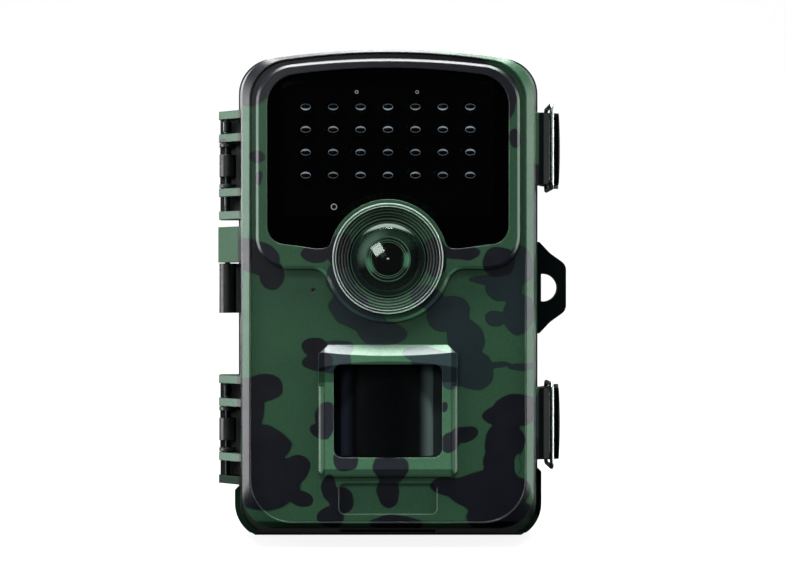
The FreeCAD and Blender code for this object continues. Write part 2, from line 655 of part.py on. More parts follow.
def battery_lead_rear():
    return cable([(-TRAY_HALF_W, 0, LEAD_Z), (LEAD_X, 0, LEAD_Z), (LEAD_X, SEAM_Y + 0.3, LEAD_Z)])


def battery_lead_front():
    board = sum(BOARD_Y) / 2
    return cable([(LEAD_X, SEAM_Y - 0.3, LEAD_Z), (LEAD_X, board, LEAD_Z), (-BOARD_HALF_W, board, LEAD_Z)])


# ---- Front half ----------------------------------------------------------------------------------
def window_outline(half_w, z0, z1, dip, lens_r, y0, y1, top_r, bottom_r, tip_r):
    """The arched outline of the window, cut round the lens. Its lower edge dips towards the lens."""
    knee = lens_r + 3.5
    a, b = V(-half_w, y0, z0), V(-knee, y0, z0 - dip)
    c, d = V(knee, y0, z0 - dip), V(half_w, y0, z0)
    rise = 3.0
    e, f = V(half_w, y0, z1 - rise), V(-half_w, y0, z1 - rise)
    crown = Part.Arc(e, V(0, y0, z1), f).toShape()
    lines = [Part.makeLine(p, q) for p, q in ((a, b), (b, c), (c, d), (d, e))]
    wire = Part.Wire(lines + [crown, Part.makeLine(f, a)])
    solid = Part.Face(wire).extrude(V(0, y1 - y0, 0))
    tops = edges_along(solid, "y", lambda e: e.CenterOfMass.z > z1 - rise - 1)
    solid = solid.makeFillet(top_r, tops)
    bottoms = edges_along(solid, "y", lambda e: e.CenterOfMass.z < z0 + 1
                          and abs(e.CenterOfMass.x) > half_w - 1)
    solid = solid.makeFillet(bottom_r, bottoms)
    if lens_r > 0 and tip_r > 0:
        solid = solid.cut(cyl_y(lens_r, 0, LENS_Z, y0 - 1, y1 + 1))
        tips = edges_along(solid, "y", lambda e: 5 < abs(e.CenterOfMass.x) < lens_r + 1
                           and e.CenterOfMass.z < z0 + 2)
        solid = solid.makeFillet(tip_r, tips)
    return solid


def window_plate(y0, y1, by):
    """The window's outline drawn inwards by a margin."""
    return window_outline(WINDOW_HALF_W - by, WINDOW_Z[0] + by, WINDOW_Z[1] - by, WINDOW_DIP,
                          WINDOW_LENS_R + by, y0, y1, 8.5 - by, 5.0 - by, 2.5)


def frame_block(y0, y1, by=0.0):
    """The raised frame's outer shape: the window's arch over a wider foot, joined to the lens flange."""
    block = window_outline(FRAME_HALF_W - by, FRAME_Z[0] + by, FRAME_Z[1] - by, 0.0, 0.0, y0, y1,
                           11.0 - by, 9.0 - by, 0.0)
    block = block.fuse(cyl_y(LENS_FLANGE_R - by, 0, LENS_Z, y0, y1)).removeSplitter()
    joints = edges_along(block, "y", lambda e: abs(e.CenterOfMass.z - FRAME_Z[0] - by) < 0.1
                         and abs(e.CenterOfMass.x) < LENS_FLANGE_R + 1)
    return block.makeFillet(4.5, joints)


def pir_block():
    """The raised surround of the sensor lens: a brow along the top, bowed forwards in plan."""
    z0, z1 = PIR_Z
    front = FACE_Y - 1.8
    profile = [(FACE_Y + 0.5, z0), (FACE_Y - 0.8, z0), (front, z0 + 2.2), (front, PIR_BROW_Z),
               (PIR_BROW_Y, z1 - 4.4), (PIR_BROW_Y, z1 - 2.9), (PIR_BROW_Y + 2.6, z1),
               (FACE_Y + 0.5, z1)]
    block = prism_yz(profile, -PIR_HALF_W, PIR_HALF_W)
    block = block.common(cyl_z(PIR_BLOCK_R, 0, PIR_BROW_Y + PIR_BLOCK_R, z0 - 1, z1 + 1))
    edge = PIR_HALF_W
    side = prism_xy([(edge + 1, front - 4), (edge - PIR_SIDE_BEVEL - 4, front - 4),
                     (edge - PIR_SIDE_BEVEL, front), (edge, front + 1.2), (edge + 1, front + 1.2)],
                    z0 - 1, PIR_BROW_Z - 1.0)
    chamfer = 2.6
    wedge = prism_xz([(PIR_HALF_W - chamfer, z1), (PIR_HALF_W + 1, z1 + 1), (PIR_HALF_W, z1 - chamfer)],
                     PIR_BROW_Y - 1, FACE_Y)
    foot = prism_xz([(PIR_HALF_W - 1.6, z0), (PIR_HALF_W + 1, z0 - 1), (PIR_HALF_W, z0 + 1.6)],
                    PIR_BROW_Y - 1, FACE_Y)
    tools = [wedge, foot, side]
    return cut(block, *tools, *[mirrored(tool) for tool in tools])


def catch(z):
    """The block on the front half that the bail is drawn against."""
    half = CATCH_HALF_H
    outline = [(41.2, CROSSBAR[1] - 3.6), (44.4, CROSSBAR[1] - 2.6), (CATCH_OUT, CROSSBAR[1] - 1.2),
               (CATCH_OUT, SEAM_Y - 3.2), (43.4, SEAM_Y - 1.2), (41.2, SEAM_Y - 1.2)]
    block = prism_xy(outline, z - half, z + half)
    ends = edges_along(block, "y", lambda e: e.CenterOfMass.x > CATCH_OUT - 0.1)
    return block.makeFillet(1.0, ends)


def front_housing():
    shell = case_block(FRONT_RIM, FRONT_SHOULDER, FRONT_SEAM)
    shell = shell.cut(straight_block(FRONT_RIM, RIM_Y - 1, FACE_Y, RIM_LAND))
    cavity = case_slice(FRONT_SHOULDER, FRONT_SEAM, FACE_BACK_Y, SEAM_Y - FLANGE_DEPTH, WALL)
    mouth = straight_block(FRONT_SEAM, SEAM_Y - FLANGE_DEPTH - 0.01, SEAM_Y + 1, FLANGE)
    groove = seam_ring(REAR_SEAM, SEAM_Y - GASKET_PROUD - 0.2, SEAM_Y + 1, GASKET_INSET[0] - 0.4,
                       GASKET_INSET[1] + 0.4)
    shell = cut(shell, cavity, mouth)

    frame = frame_block(FRAME_Y, FACE_Y + 0.5)
    frame = frame.makeChamfer(FRAME_BEVEL, edges_at(frame, "Y", FRAME_Y))
    adds = [frame, frame_block(FACE_BACK_Y - 0.5, PAD_BACK_Y), pir_block()]
    adds.append(slab(-PIR_HALF_W, PIR_HALF_W, PIR_Z[0] + 1, PIR_Z[1] - 1, FACE_BACK_Y - 0.5,
                     FACE_BACK_Y + 1.7, 2.0))
    adds += [cyl_y(2.3, x, z, FACE_BACK_Y - 0.5, PANEL_Y[0]) for x, z in PANEL_SCREWS]
    adds += [cyl_y(2.3, x, z, FACE_BACK_Y - 0.5, BOARD_Y[0]) for x, z in BOARD_SCREWS]
    adds += [cyl_y(2.3, x, z, PAD_BACK_Y - 0.5, LED_BOARD_Y[0]) for x, z in LED_SCREWS]
    adds.append(cyl_y(4.4, MIC[0], MIC[1], FACE_BACK_Y - 0.5, FACE_BACK_Y + 2.6))
    adds.append(box(-PORT_X - 2, PORT_X + 2, PORT_Y[0] - 2, PORT_Y[1] + 2, 3.9, PORT_FLOOR_Z + 2.2))
    for low, high in HINGE_SPANS:
        adds += [knuckle(z0, z1, -41.4, -1, PIN_R + RUNNING_GAP) for z0, z1 in fork_ribs(low, high)]
    adds.append(knuckle(MIDDLE_LUG_Z[0], MIDDLE_LUG_Z[1], -41.2, -1, PIN_R + RUNNING_GAP, 2.6, 11.0))
    adds += [catch(z) for z in CATCH_Z]
    adds.append(lug_plate(SEAM_Y - 0.15 - LUG_T, SEAM_Y - 0.15, 41.8))
    adds.append(skirt(FRONT_SEAM, SEAM_Y - SKIRT_DEPTH, SEAM_Y))
    shell = fuse(shell, *adds)

    half, low, high = LABEL
    label = slab(-half, half, low, high, FACE_Y - 1, FACE_Y + 0.6, 1.6)
    window_pocket = window_plate(FRAME_Y - 1, WINDOW_Y[1], 0.0)
    window_hole = window_plate(FRAME_Y - 1, PAD_BACK_Y + 1, WINDOW_LEDGE)
    pir_hole = slab(-PIR_OPEN_HALF_W, PIR_OPEN_HALF_W, PIR_OPEN_Z[0], PIR_OPEN_Z[1], PIR_BROW_Y - 1,
                    FACE_Y + 8, 2.3)
    port = slab_z(-PORT_X, PORT_X, PORT_Y[0], PORT_Y[1], -1, PORT_FLOOR_Z, 0.5)
    lens_hole = cyl_y(LENS_RING_R, 0, LENS_Z, -60, -30)
    shoulder_y = FRONT_SHOULDER[0]
    base = prism_yz([(SEAM_Y + 1, FRONT_BASE_Z[0]), (SEAM_Y, FRONT_BASE_Z[0]), (shoulder_y, FRONT_BASE_Z[1]),
                     (shoulder_y, -5), (SEAM_Y + 1, -5)], -60, 60)
    cuts = [groove, label, window_pocket, window_hole, pir_hole, port, lens_hole, base]
    cuts.append(cyl_y(0.5, MIC[0], MIC[1], -60, -30))
    cuts.append(cyl_y(3.0, MIC[0], MIC[1], FACE_BACK_Y, -30))
    cuts.append(cyl_z(3.4, DC_X, SOCKET_Y, 0, 10))
    cuts.append(box(USB_X - 4.2, USB_X + 4.2, SOCKET_Y - 1.7, SOCKET_Y + 1.7, 0, 10))
    cuts += [cyl_y(SCREW_R, x, z, PANEL_Y[0] - 6, PANEL_Y[0] + 1) for x, z in PANEL_SCREWS]
    cuts += [cyl_y(SCREW_R, x, z, BOARD_Y[0] - 5, BOARD_Y[0] + 1) for x, z in BOARD_SCREWS]
    cuts += [cyl_y(SCREW_R, x, z, LED_BOARD_Y[0] - 3, LED_BOARD_Y[0] + 1) for x, z in LED_SCREWS]
    for low, high in HINGE_SPANS:
        cuts.append(cyl_z(1.35, HINGE_X, SEAM_Y, high - RIB_H - 0.1, high + 1))
    return cut(shell, *cuts)


def ir_window():
    plate = window_plate(WINDOW_Y[0], WINDOW_Y[1], 0.08)
    return plate.makeChamfer(0.3, edges_at(plate, "Y", WINDOW_Y[0]))


def lens_bezel():
    """The stepped conical ring round the lens, open behind for the dome and the lens barrel."""
    y = DOME_TIP_Y
    outer = [(LENS_RING_R, PAD_BACK_Y), (LENS_RING_R, y - 1.9), (LENS_RING_R - 0.5, y - 2.4),
             (LENS_RING_R - 1.0, y - 2.4)]
    steps = []
    r, step_y = LENS_RING_R - 1.1, y - 1.1
    while r > APERTURE_R + 0.3:
        steps += [(r, step_y), (r - 0.65, step_y)]
        r -= 0.8
        step_y += 1.0
    inner = [(APERTURE_R, step_y), (APERTURE_R, y + 3.4), (11.7, y + 3.4), (11.7, PAD_BACK_Y + 1.9),
             (13.2, PAD_BACK_Y + 1.9), (13.2, PAD_BACK_Y)]
    return turned(outer + steps + inner, 0, LENS_Z)


def lens_dome():
    centre_y = DOME_TIP_Y + DOME_R
    seat_y = DOME_TIP_Y + 3.4
    dome = Part.makeSphere(DOME_R, V(0, centre_y, LENS_Z))
    dome = dome.common(cyl_y(APERTURE_R, 0, LENS_Z, -60, seat_y + 1.4))
    dome = dome.cut(Part.makeSphere(DOME_R - 1.6, V(0, centre_y, LENS_Z)))
    foot = turned([(9.4, seat_y), (11.6, seat_y), (11.6, seat_y + 1.4), (9.4, seat_y + 1.4)], 0, LENS_Z)
    return fuse(dome, foot)


def lens_oring():
    return Part.makeTorus(11.0, 0.55, V(0, DOME_TIP_Y + 3.4 + 1.4 + 0.56, LENS_Z), V(0, 1, 0))


def lens_retainer():
    y = PAD_BACK_Y
    ring = turned([(13.2, y), (16.9, y), (16.9, y + 1.9), (13.2, y + 1.9)], 0, LENS_Z)
    middles = (LENS_Z - 15.6, LENS_Z + 15.6)
    return cut(ring, *[box(-1.2, 1.2, y + 0.9, y + 3, z - 2, z + 2) for z in middles])


def lens_barrel():
    y = BARREL_FRONT_Y
    neck, tail = HOLDER_Y[0] - 1.4, HOLDER_Y[0] + 3.2
    return turned([(5.8, y), (11.6, y), (11.6, y + 2.0), (7.8, y + 2.0), (7.8, neck), (7.0, neck),
                   (7.0, tail), (4.4, tail), (4.4, y + 2.2)], 0, LENS_Z)


def lens_front_element():
    body = cyl_y(4.4, 0, LENS_Z, BARREL_FRONT_Y + 1.4, BARREL_FRONT_Y + 5.0)
    bulge = Part.makeSphere(9.0, V(0, BARREL_FRONT_Y + 10.6, LENS_Z))
    return body.common(bulge)


def lens_holder():
    y0, y1 = HOLDER_Y
    half = 9.5
    body = slab(-half, half, LENS_Z - half, LENS_Z + half, y0, y1, 1.2)
    socket = cyl_y(7.0, 0, LENS_Z, y0 - 1, y0 + 3.2)
    bore = cyl_y(3.4, 0, LENS_Z, y0, y1 + 1)
    slot = box(-half - 1, half + 1, FILTER_Y[0] - 0.1, FILTER_Y[1] + 0.1, LENS_Z - 4.6, LENS_Z + 4.6)
    pocket = box(-4.6, 4.6, y1 - 1.2, y1 + 1, LENS_Z - 4.6, LENS_Z + 4.6)
    return cut(body, socket, bore, slot, pocket)


def ir_cut_filter():
    """A sliding carrier with two round filters, one clear and one that blocks infrared."""
    carrier = slab(-4.0, 4.0 + FILTER_TRAVEL, LENS_Z - 4.4, LENS_Z + 4.4, FILTER_Y[0], FILTER_Y[1], 0.8)
    discs = [cyl_y(2.6, x, LENS_Z, FILTER_Y[0] + 0.05, FILTER_Y[1] - 0.05) for x in (0.0, FILTER_TRAVEL)]
    holes = [cyl_y(2.6, x, LENS_Z, FILTER_Y[0] - 1, FILTER_Y[1] + 1) for x in (0.0, FILTER_TRAVEL)]
    return Part.makeCompound([cut(carrier, *holes)] + discs)


def image_sensor():
    return slab(-4.0, 4.0, LENS_Z - 4, LENS_Z + 4, HOLDER_Y[1] - 1.0, HOLDER_Y[1], 0.4)


def sensor_board():
    return slab(-12, 12, LENS_Z - 11, LENS_Z + 12, HOLDER_Y[1], HOLDER_Y[1] + 1.2, 1.0)


def led_place(i, j):
    x = (i - (LED_COUNT[0] - 1) / 2) * LED_PITCH[0]
    return x, LED_TOP_Z - j * LED_PITCH[1]


def led(x, z, r):
    """A round-topped light-emitting diode standing on the board, its dome to the front."""
    y = LED_BOARD_Y[0]
    length = 3.6 * r / LED_R
    tip = y - length
    body = turned([(0, y), (r + 0.2, y), (r + 0.2, y - 1.0), (r, y - 1.0), (r, tip), (0, tip)], x, z)
    return fuse(body, Part.makeSphere(r, V(x, tip, z)))


def ir_leds():
    columns, rows = LED_COUNT
    return Part.makeCompound([led(*led_place(i, j), LED_R) for j in range(rows) for i in range(columns)])


def light_sensors():
    return Part.makeCompound([led(x, z, 1.0) for x, z in LIGHT_SENSORS])


def status_led():
    return led(STATUS_LED[0], STATUS_LED[1], 1.2)


def led_board():
    y0, y1 = LED_BOARD_Y
    board = slab(-BOARD_HALF_W, BOARD_HALF_W, 77.2, 129.0, y0, y1, 4.0)
    holes = [cyl_y(SCREW_R + 0.15, x, z, y0 - 1, y1 + 1) for x, z in LED_SCREWS]
    return cut(board, cyl_y(14.8, 0, LENS_Z, y0 - 1, y1 + 1), *holes)


def microphone():
    x, z = MIC
    y = FACE_BACK_Y
    return turned([(0, y), (3.0, y), (3.0, y + 2.0), (2.5, y + 2.4), (0, y + 2.4)], x, z)


def pir_lens():
    """A thin upright half-round lens, with a flat flange that seats behind the opening."""
    r, tip = PIR_LENS_R, PIR_LENS_TIP_Y
    half_w = PIR_OPEN_HALF_W - 1.3
    z0, z1 = PIR_OPEN_Z[0] + 0.2, PIR_OPEN_Z[1] - 0.2
    seat_y = FACE_BACK_Y + 1.7
    hollow = cyl_z(r - PIR_LENS_T, 0, tip + r, z0 + PIR_LENS_T, z1 - PIR_LENS_T)
    shell = cyl_z(r, 0, tip + r, z0, z1).cut(hollow)
    shell = shell.common(slab(-half_w, half_w, z0, z1, tip - 1, seat_y + 1.2, 2.0))
    flange = slab(-PIR_OPEN_HALF_W - 2, PIR_OPEN_HALF_W + 2, z0 - 2, z1 + 2, seat_y, seat_y + 1.2, 2.0)
    flange = flange.cut(box(-half_w + PIR_LENS_T, half_w - PIR_LENS_T, seat_y - 1, seat_y + 3,
                            z0 + PIR_LENS_T, z1 - PIR_LENS_T))
    return fuse(shell, flange)


def pir_board():
    return slab(-14, 14, PIR_MID_Z - 10, PIR_MID_Z + 10, PIR_BOARD_Y[0], PIR_BOARD_Y[1], 1.0)


def pir_sensor():
    y = PIR_BOARD_Y[0]
    return turned([(0, y), (4.6, y), (4.6, y - 0.6), (4.1, y - 0.6), (4.1, y - 4.0), (0, y - 4.0)],
                  0, PIR_MID_Z)


def main_board():
    y0, y1 = BOARD_Y
    board = slab(-BOARD_HALF_W, BOARD_HALF_W, BOARD_Z[0], BOARD_Z[1], y0, y1, 3.0)
    holes = [cyl_y(SCREW_R + 0.15, x, z, y0 - 1, y1 + 1) for x, z in BOARD_SCREWS]
    return cut(board, *holes)


def board_parts():
    """Parts on the main board: processor, memory, coils, connector, standoffs and switch bodies."""
    front, back = BOARD_Y
    parts = [slab(-26, -10, 50, 66, front - 1.4, front, 0.5)]
    parts.append(slab(-2, 8, 56, 66, front - 1.2, front, 0.3))
    parts += [cyl_y(3.0, x, 104, front - 6.0, front) for x in (-20, -12, 14)]
    parts += [slab(x, x + 5, 112, 117, front - 2.6, front, 0.8) for x in (-24, -14, 10, 20)]
    parts.append(box(-8, 8, HOLDER_Y[1] + 1.2, front, 86.4, 89.0))
    parts += [cyl_y(1.6, side * 11, PIR_MID_Z, PIR_BOARD_Y[1], front) for side in (-1, 1)]
    parts += [slab(x - 3, x + 3, z - 3, z + 3, back, back + 1.25, 0.4) for x, z in KEYS.values()]
    mx, mz = MODE_SWITCH
    parts.append(box(mx - 8, mx + 8, back, back + 1.9, mz - 2.4, mz + 2.4))
    return Part.makeCompound(parts)


def board_screws():
    screws = [pan_screw(x, z, BOARD_Y[1], BOARD_Y[0] - 4) for x, z in BOARD_SCREWS]
    screws += [pan_screw(x, z, LED_BOARD_Y[1], LED_BOARD_Y[0] - 2.6) for x, z in LED_SCREWS]
    return Part.makeCompound(screws)


def inner_panel():
    y0, y1 = PANEL_Y
    panel = straight_block(FRONT_SEAM, y0, y1, PANEL_INSET)
    cuts = [slab(-LCD_HALF_W + 2, LCD_HALF_W - 2, LCD_Z[0] + 2, LCD_Z[1] - 2, y0 - 1, y1 + 1, 1.0)]
    cuts.append(slab(-LCD_HALF_W, LCD_HALF_W, LCD_Z[0], LCD_Z[1], y1 - 0.8, y1 + 1, 1.5))
    cuts += [cyl_y(KEY_R + 0.15, x, z, y0 - 1, y1 + 1) for x, z in KEYS.values()]
    mx, mz = MODE_SWITCH
    cuts.append(slab(mx - 7, mx + 7, mz - 1.7, mz + 1.7, y0 - 1, y1 + 1, 0.8))
    cuts.append(slab(SD_X[0] - 0.8, SD_X[1] + 0.8, 14.5, SD_Z[0] - 0.4, y0 - 1, y1 + 1, 2.0))
    sx, sz, sr = SPEAKER
    for ring_r, count in ((0, 1), (2.6, 6), (5.2, 12)):
        for i in range(count):
            a = 2 * math.pi * i / count
            cuts.append(cyl_y(0.6, sx + ring_r * math.cos(a), sz + ring_r * math.sin(a), y0 - 1, y1 + 1))
    cuts += [cyl_y(SCREW_R + 0.15, x, z, y0 - 1, y1 + 1) for x, z in PANEL_SCREWS]
    cuts.append(cyl_y(1.6, LEAD_X, LEAD_Z, y0 - 1, y1 + 1))
    return cut(panel, *cuts)


def panel_screws():
    tip = PANEL_Y[0] - 4
    return Part.makeCompound([pan_screw(x, z, PANEL_Y[1], tip, 1.9, 0.6) for x, z in PANEL_SCREWS])


def lcd_module():
    y1 = PANEL_Y[0]
    return slab(-LCD_HALF_W, LCD_HALF_W, LCD_Z[0], LCD_Z[1], y1 - 2.4, y1, 0.8)


def lcd_window():
    y1 = PANEL_Y[1]
    half = LCD_HALF_W - 0.1
    return slab(-half, half, LCD_Z[0] + 0.1, LCD_Z[1] - 0.1, y1 - 0.8, y1, 1.4)


def key(x, z):
    """A round key: a cap through the panel, a flange behind it, and a stem over its switch."""
    flange, face = PANEL_Y[0] - 0.1, PANEL_Y[1] + 0.9
    brim = KEY_R + 0.6
    return turned([(0, flange - 1.2), (1.5, flange - 1.2), (1.5, flange - 0.7), (brim, flange - 0.7),
                   (brim, flange), (KEY_R, flange), (KEY_R, face - 0.4), (KEY_R - 0.4, face),
                   (0, face)], x, z)


def mode_knob():
    x, z = MODE_SWITCH
    y0, y1 = PANEL_Y
    foot = box(x - 4.0, x + 4.0, y0 - 0.9, y0 - 0.1, z - 2.4, z + 2.4)
    stem = box(x - 2.6, x + 2.6, y0 - 0.5, y1 + 0.4, z - 1.5, z + 1.5)
    cap = box(x - 2.6, x + 2.6, y1 + 0.1, y1 + 1.0, z - 2.0, z + 2.0)
    middles = (x - 1.4, x, x + 1.4)
    grooves = [box(mid - 0.25, mid + 0.25, y1 + 0.7, y1 + 2, z - 3, z + 3) for mid in middles]
    return cut(fuse(foot, stem, cap), *grooves)


def sd_socket():
    y0 = BOARD_Y[1]
    body = box(SD_X[0], SD_X[1], y0, y0 + 2.9, SD_Z[0], SD_Z[1])
    mid = (SD_X[0] + SD_X[1]) / 2
    room = 0.15
    w, length, t = SD_CARD
    slot = box(mid - w / 2 - room, mid + w / 2 + room, y0 + 0.4 - room, y0 + 0.4 + t + room, SD_Z[0] - 1,
               SD_Z[0] - 3.2 + length)
    return cut(body, slot)


def sd_card():
    """A memory card with one clipped corner and a grip lip at the exposed end."""
    w, length, t = SD_CARD
    mid = (SD_X[0] + SD_X[1]) / 2
    z0 = SD_Z[0] - 3.5
    y0 = BOARD_Y[1] + 0.4
    x0, x1 = mid - w / 2, mid + w / 2
    outline = [(x0, z0), (x1, z0), (x1, z0 + length), (x0 + 4, z0 + length), (x0, z0 + length - 4)]
    return prism_xz(outline, y0, y0 + t)


def usb_socket():
    """A metal socket shell that opens downwards, with a contact tongue inside."""
    z0, z1 = PORT_FLOOR_Z + 2.2, PORT_FLOOR_Z + 9.0
    shell = box(USB_X - 3.9, USB_X + 3.9, SOCKET_Y - 1.5, SOCKET_Y + 1.5, z0, z1)
    hollow = box(USB_X - 3.5, USB_X + 3.5, SOCKET_Y - 1.1, SOCKET_Y + 1.1, z0 - 1, z1 - 0.8)
    tongue = box(USB_X - 2.6, USB_X + 2.6, SOCKET_Y - 0.3, SOCKET_Y + 0.3, z0 + 0.8, z1)
    foot = box(USB_X - 3.9, USB_X + 3.9, SOCKET_Y + 1.5, BOARD_Y[0], z1 - 3, z1)
    return fuse(cut(shell, hollow), tongue, foot)


def dc_jack():
    """A round power jack that opens downwards, with its centre pin."""
    z0, z1 = PORT_FLOOR_Z + 2.2, PORT_FLOOR_Z + 12.0
    body = box(DC_X - 4.4, DC_X + 4.4, SOCKET_Y - 4.4, BOARD_Y[0], z0, z1)
    hole = cyl_z(2.8, DC_X, SOCKET_Y, z0 - 1, z1 - 1.5)
    return fuse(cut(body, hole), cyl_z(0.7, DC_X, SOCKET_Y, z0 + 0.5, z1 - 1.0))


def port_cover():
    """A rubber flap that fills the recess and turns on its rear edge."""
    y0, y1 = PORT_Y[0] + 0.3, PORT_PIVOT[0] + 0.4
    top = PORT_FLOOR_Z - 0.1
    outline = [(y0, top), (y1 - 0.2, top), (y1, top - 0.3), (y1, 2.9), (y1 - 0.4, 2.5), (y0 + 2.0, 3.9),
               (y0, 4.0)]
    flap = prism_yz(outline, -PORT_X + 0.3, PORT_X - 0.3)
    nick = box(-4, 4, y0 - 1, y0 + 0.8, 3.0, 4.6)
    return cut(flap, nick)


def speaker():
    x, z, r = SPEAKER
    y = PANEL_Y[0]
    return turned([(0, y - 0.4), (r - 1.2, y - 0.4), (r - 1.0, y), (r, y), (r, y - 1.6),
                   (r - 2.5, y - 2.6), (0, y - 2.6)], x, z)


# ---- Nodes -----------------------------------------------------------------------------------------
NODES = {
    "rear_housing": rear_housing, "tripod_nut": tripod_nut, "case_gasket": gasket,
    "hinge_pins": hinge_pins, "tree_bracket": tree_bracket, "bracket_screws": bracket_screws,
    "battery_tray": battery_tray, "tray_screws": tray_screws, "battery_contacts": battery_contacts,
    "aa_cells": aa_cells, "battery_door": battery_door, "latch_pins": latch_pins,
    "battery_lead_rear": battery_lead_rear, "battery_lead_front": battery_lead_front,
    "front_housing": front_housing, "ir_window": ir_window, "lens_bezel": lens_bezel,
    "lens_dome": lens_dome, "lens_oring": lens_oring, "lens_retainer": lens_retainer,
    "lens_barrel": lens_barrel, "lens_front_element": lens_front_element, "lens_holder": lens_holder,
    "ir_cut_filter": ir_cut_filter, "image_sensor": image_sensor, "sensor_board": sensor_board,
    "led_board": led_board, "ir_leds": ir_leds, "light_sensors": light_sensors,
    "status_led": status_led, "microphone": microphone, "pir_lens": pir_lens,
    "pir_sensor": pir_sensor, "pir_board": pir_board, "main_board": main_board,
    "board_parts": board_parts, "board_screws": board_screws, "inner_panel": inner_panel,
    "panel_screws": panel_screws, "lcd_module": lcd_module, "lcd_window": lcd_window,
    "mode_knob": mode_knob, "sd_socket": sd_socket, "sd_card": sd_card, "usb_socket": usb_socket,
    "dc_jack": dc_jack, "port_cover": port_cover, "speaker": speaker,
}


def main():
    os.makedirs("parts", exist_ok=True)
    shapes = {name: make() for name, make in NODES.items()}
    for name, z in zip(("upper", "lower"), LATCH_Z):
        shapes["latch_lever_" + name] = latch_lever(z)
        shapes["latch_bail_" + name] = latch_bail(z)
    for name, (x, z) in KEYS.items():
        shapes[name] = key(x, z)
    for name, shape in shapes.items():
        if not shape.isValid():
            print("not valid:", name)
        shape.exportStep(f"parts/{name}.step")
    print(len(shapes), "nodes")


main()
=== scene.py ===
"""Looks of the trail camera: materials, fine pieces, studio light and camera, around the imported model."""
import json
import math

import bmesh
import bpy
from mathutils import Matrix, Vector


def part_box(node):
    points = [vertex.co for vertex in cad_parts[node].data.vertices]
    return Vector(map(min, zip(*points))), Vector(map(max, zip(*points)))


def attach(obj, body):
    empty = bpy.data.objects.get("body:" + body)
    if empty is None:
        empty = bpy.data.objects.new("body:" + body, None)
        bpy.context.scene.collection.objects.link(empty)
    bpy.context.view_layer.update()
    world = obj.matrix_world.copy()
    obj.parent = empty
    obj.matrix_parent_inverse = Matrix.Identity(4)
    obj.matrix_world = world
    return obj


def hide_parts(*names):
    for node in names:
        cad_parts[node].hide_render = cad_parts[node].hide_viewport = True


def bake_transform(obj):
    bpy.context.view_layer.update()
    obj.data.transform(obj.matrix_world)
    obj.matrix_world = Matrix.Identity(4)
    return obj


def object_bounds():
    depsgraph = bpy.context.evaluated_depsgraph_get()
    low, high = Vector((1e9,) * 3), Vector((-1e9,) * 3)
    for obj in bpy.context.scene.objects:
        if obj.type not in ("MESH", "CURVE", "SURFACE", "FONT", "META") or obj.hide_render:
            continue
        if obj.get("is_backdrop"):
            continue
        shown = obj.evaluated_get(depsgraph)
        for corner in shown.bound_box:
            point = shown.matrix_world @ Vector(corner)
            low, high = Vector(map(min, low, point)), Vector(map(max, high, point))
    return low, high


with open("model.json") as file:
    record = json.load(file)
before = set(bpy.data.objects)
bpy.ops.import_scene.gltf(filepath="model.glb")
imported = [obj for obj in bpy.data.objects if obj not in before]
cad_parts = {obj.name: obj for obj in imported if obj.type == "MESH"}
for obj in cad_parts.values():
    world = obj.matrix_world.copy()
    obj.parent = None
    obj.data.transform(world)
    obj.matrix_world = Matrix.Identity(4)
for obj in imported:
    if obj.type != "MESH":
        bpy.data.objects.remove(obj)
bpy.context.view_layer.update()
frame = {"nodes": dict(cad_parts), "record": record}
MM = 0.001
# Height of the optical axis (mm).
LENS_Z = 79.6
DARK = (0.0, 0.0, 0.0, 1.0)
WHITE = (1.0, 1.0, 1.0, 1.0)
# A face counts as square on to an axis more and more as that part of its normal runs through these.
SQUARE_ON = (0.90, 0.985)
# Draws the brush marks of a metal out along Z.
ALONG_Z = (1.0, 1.0, 0.08)


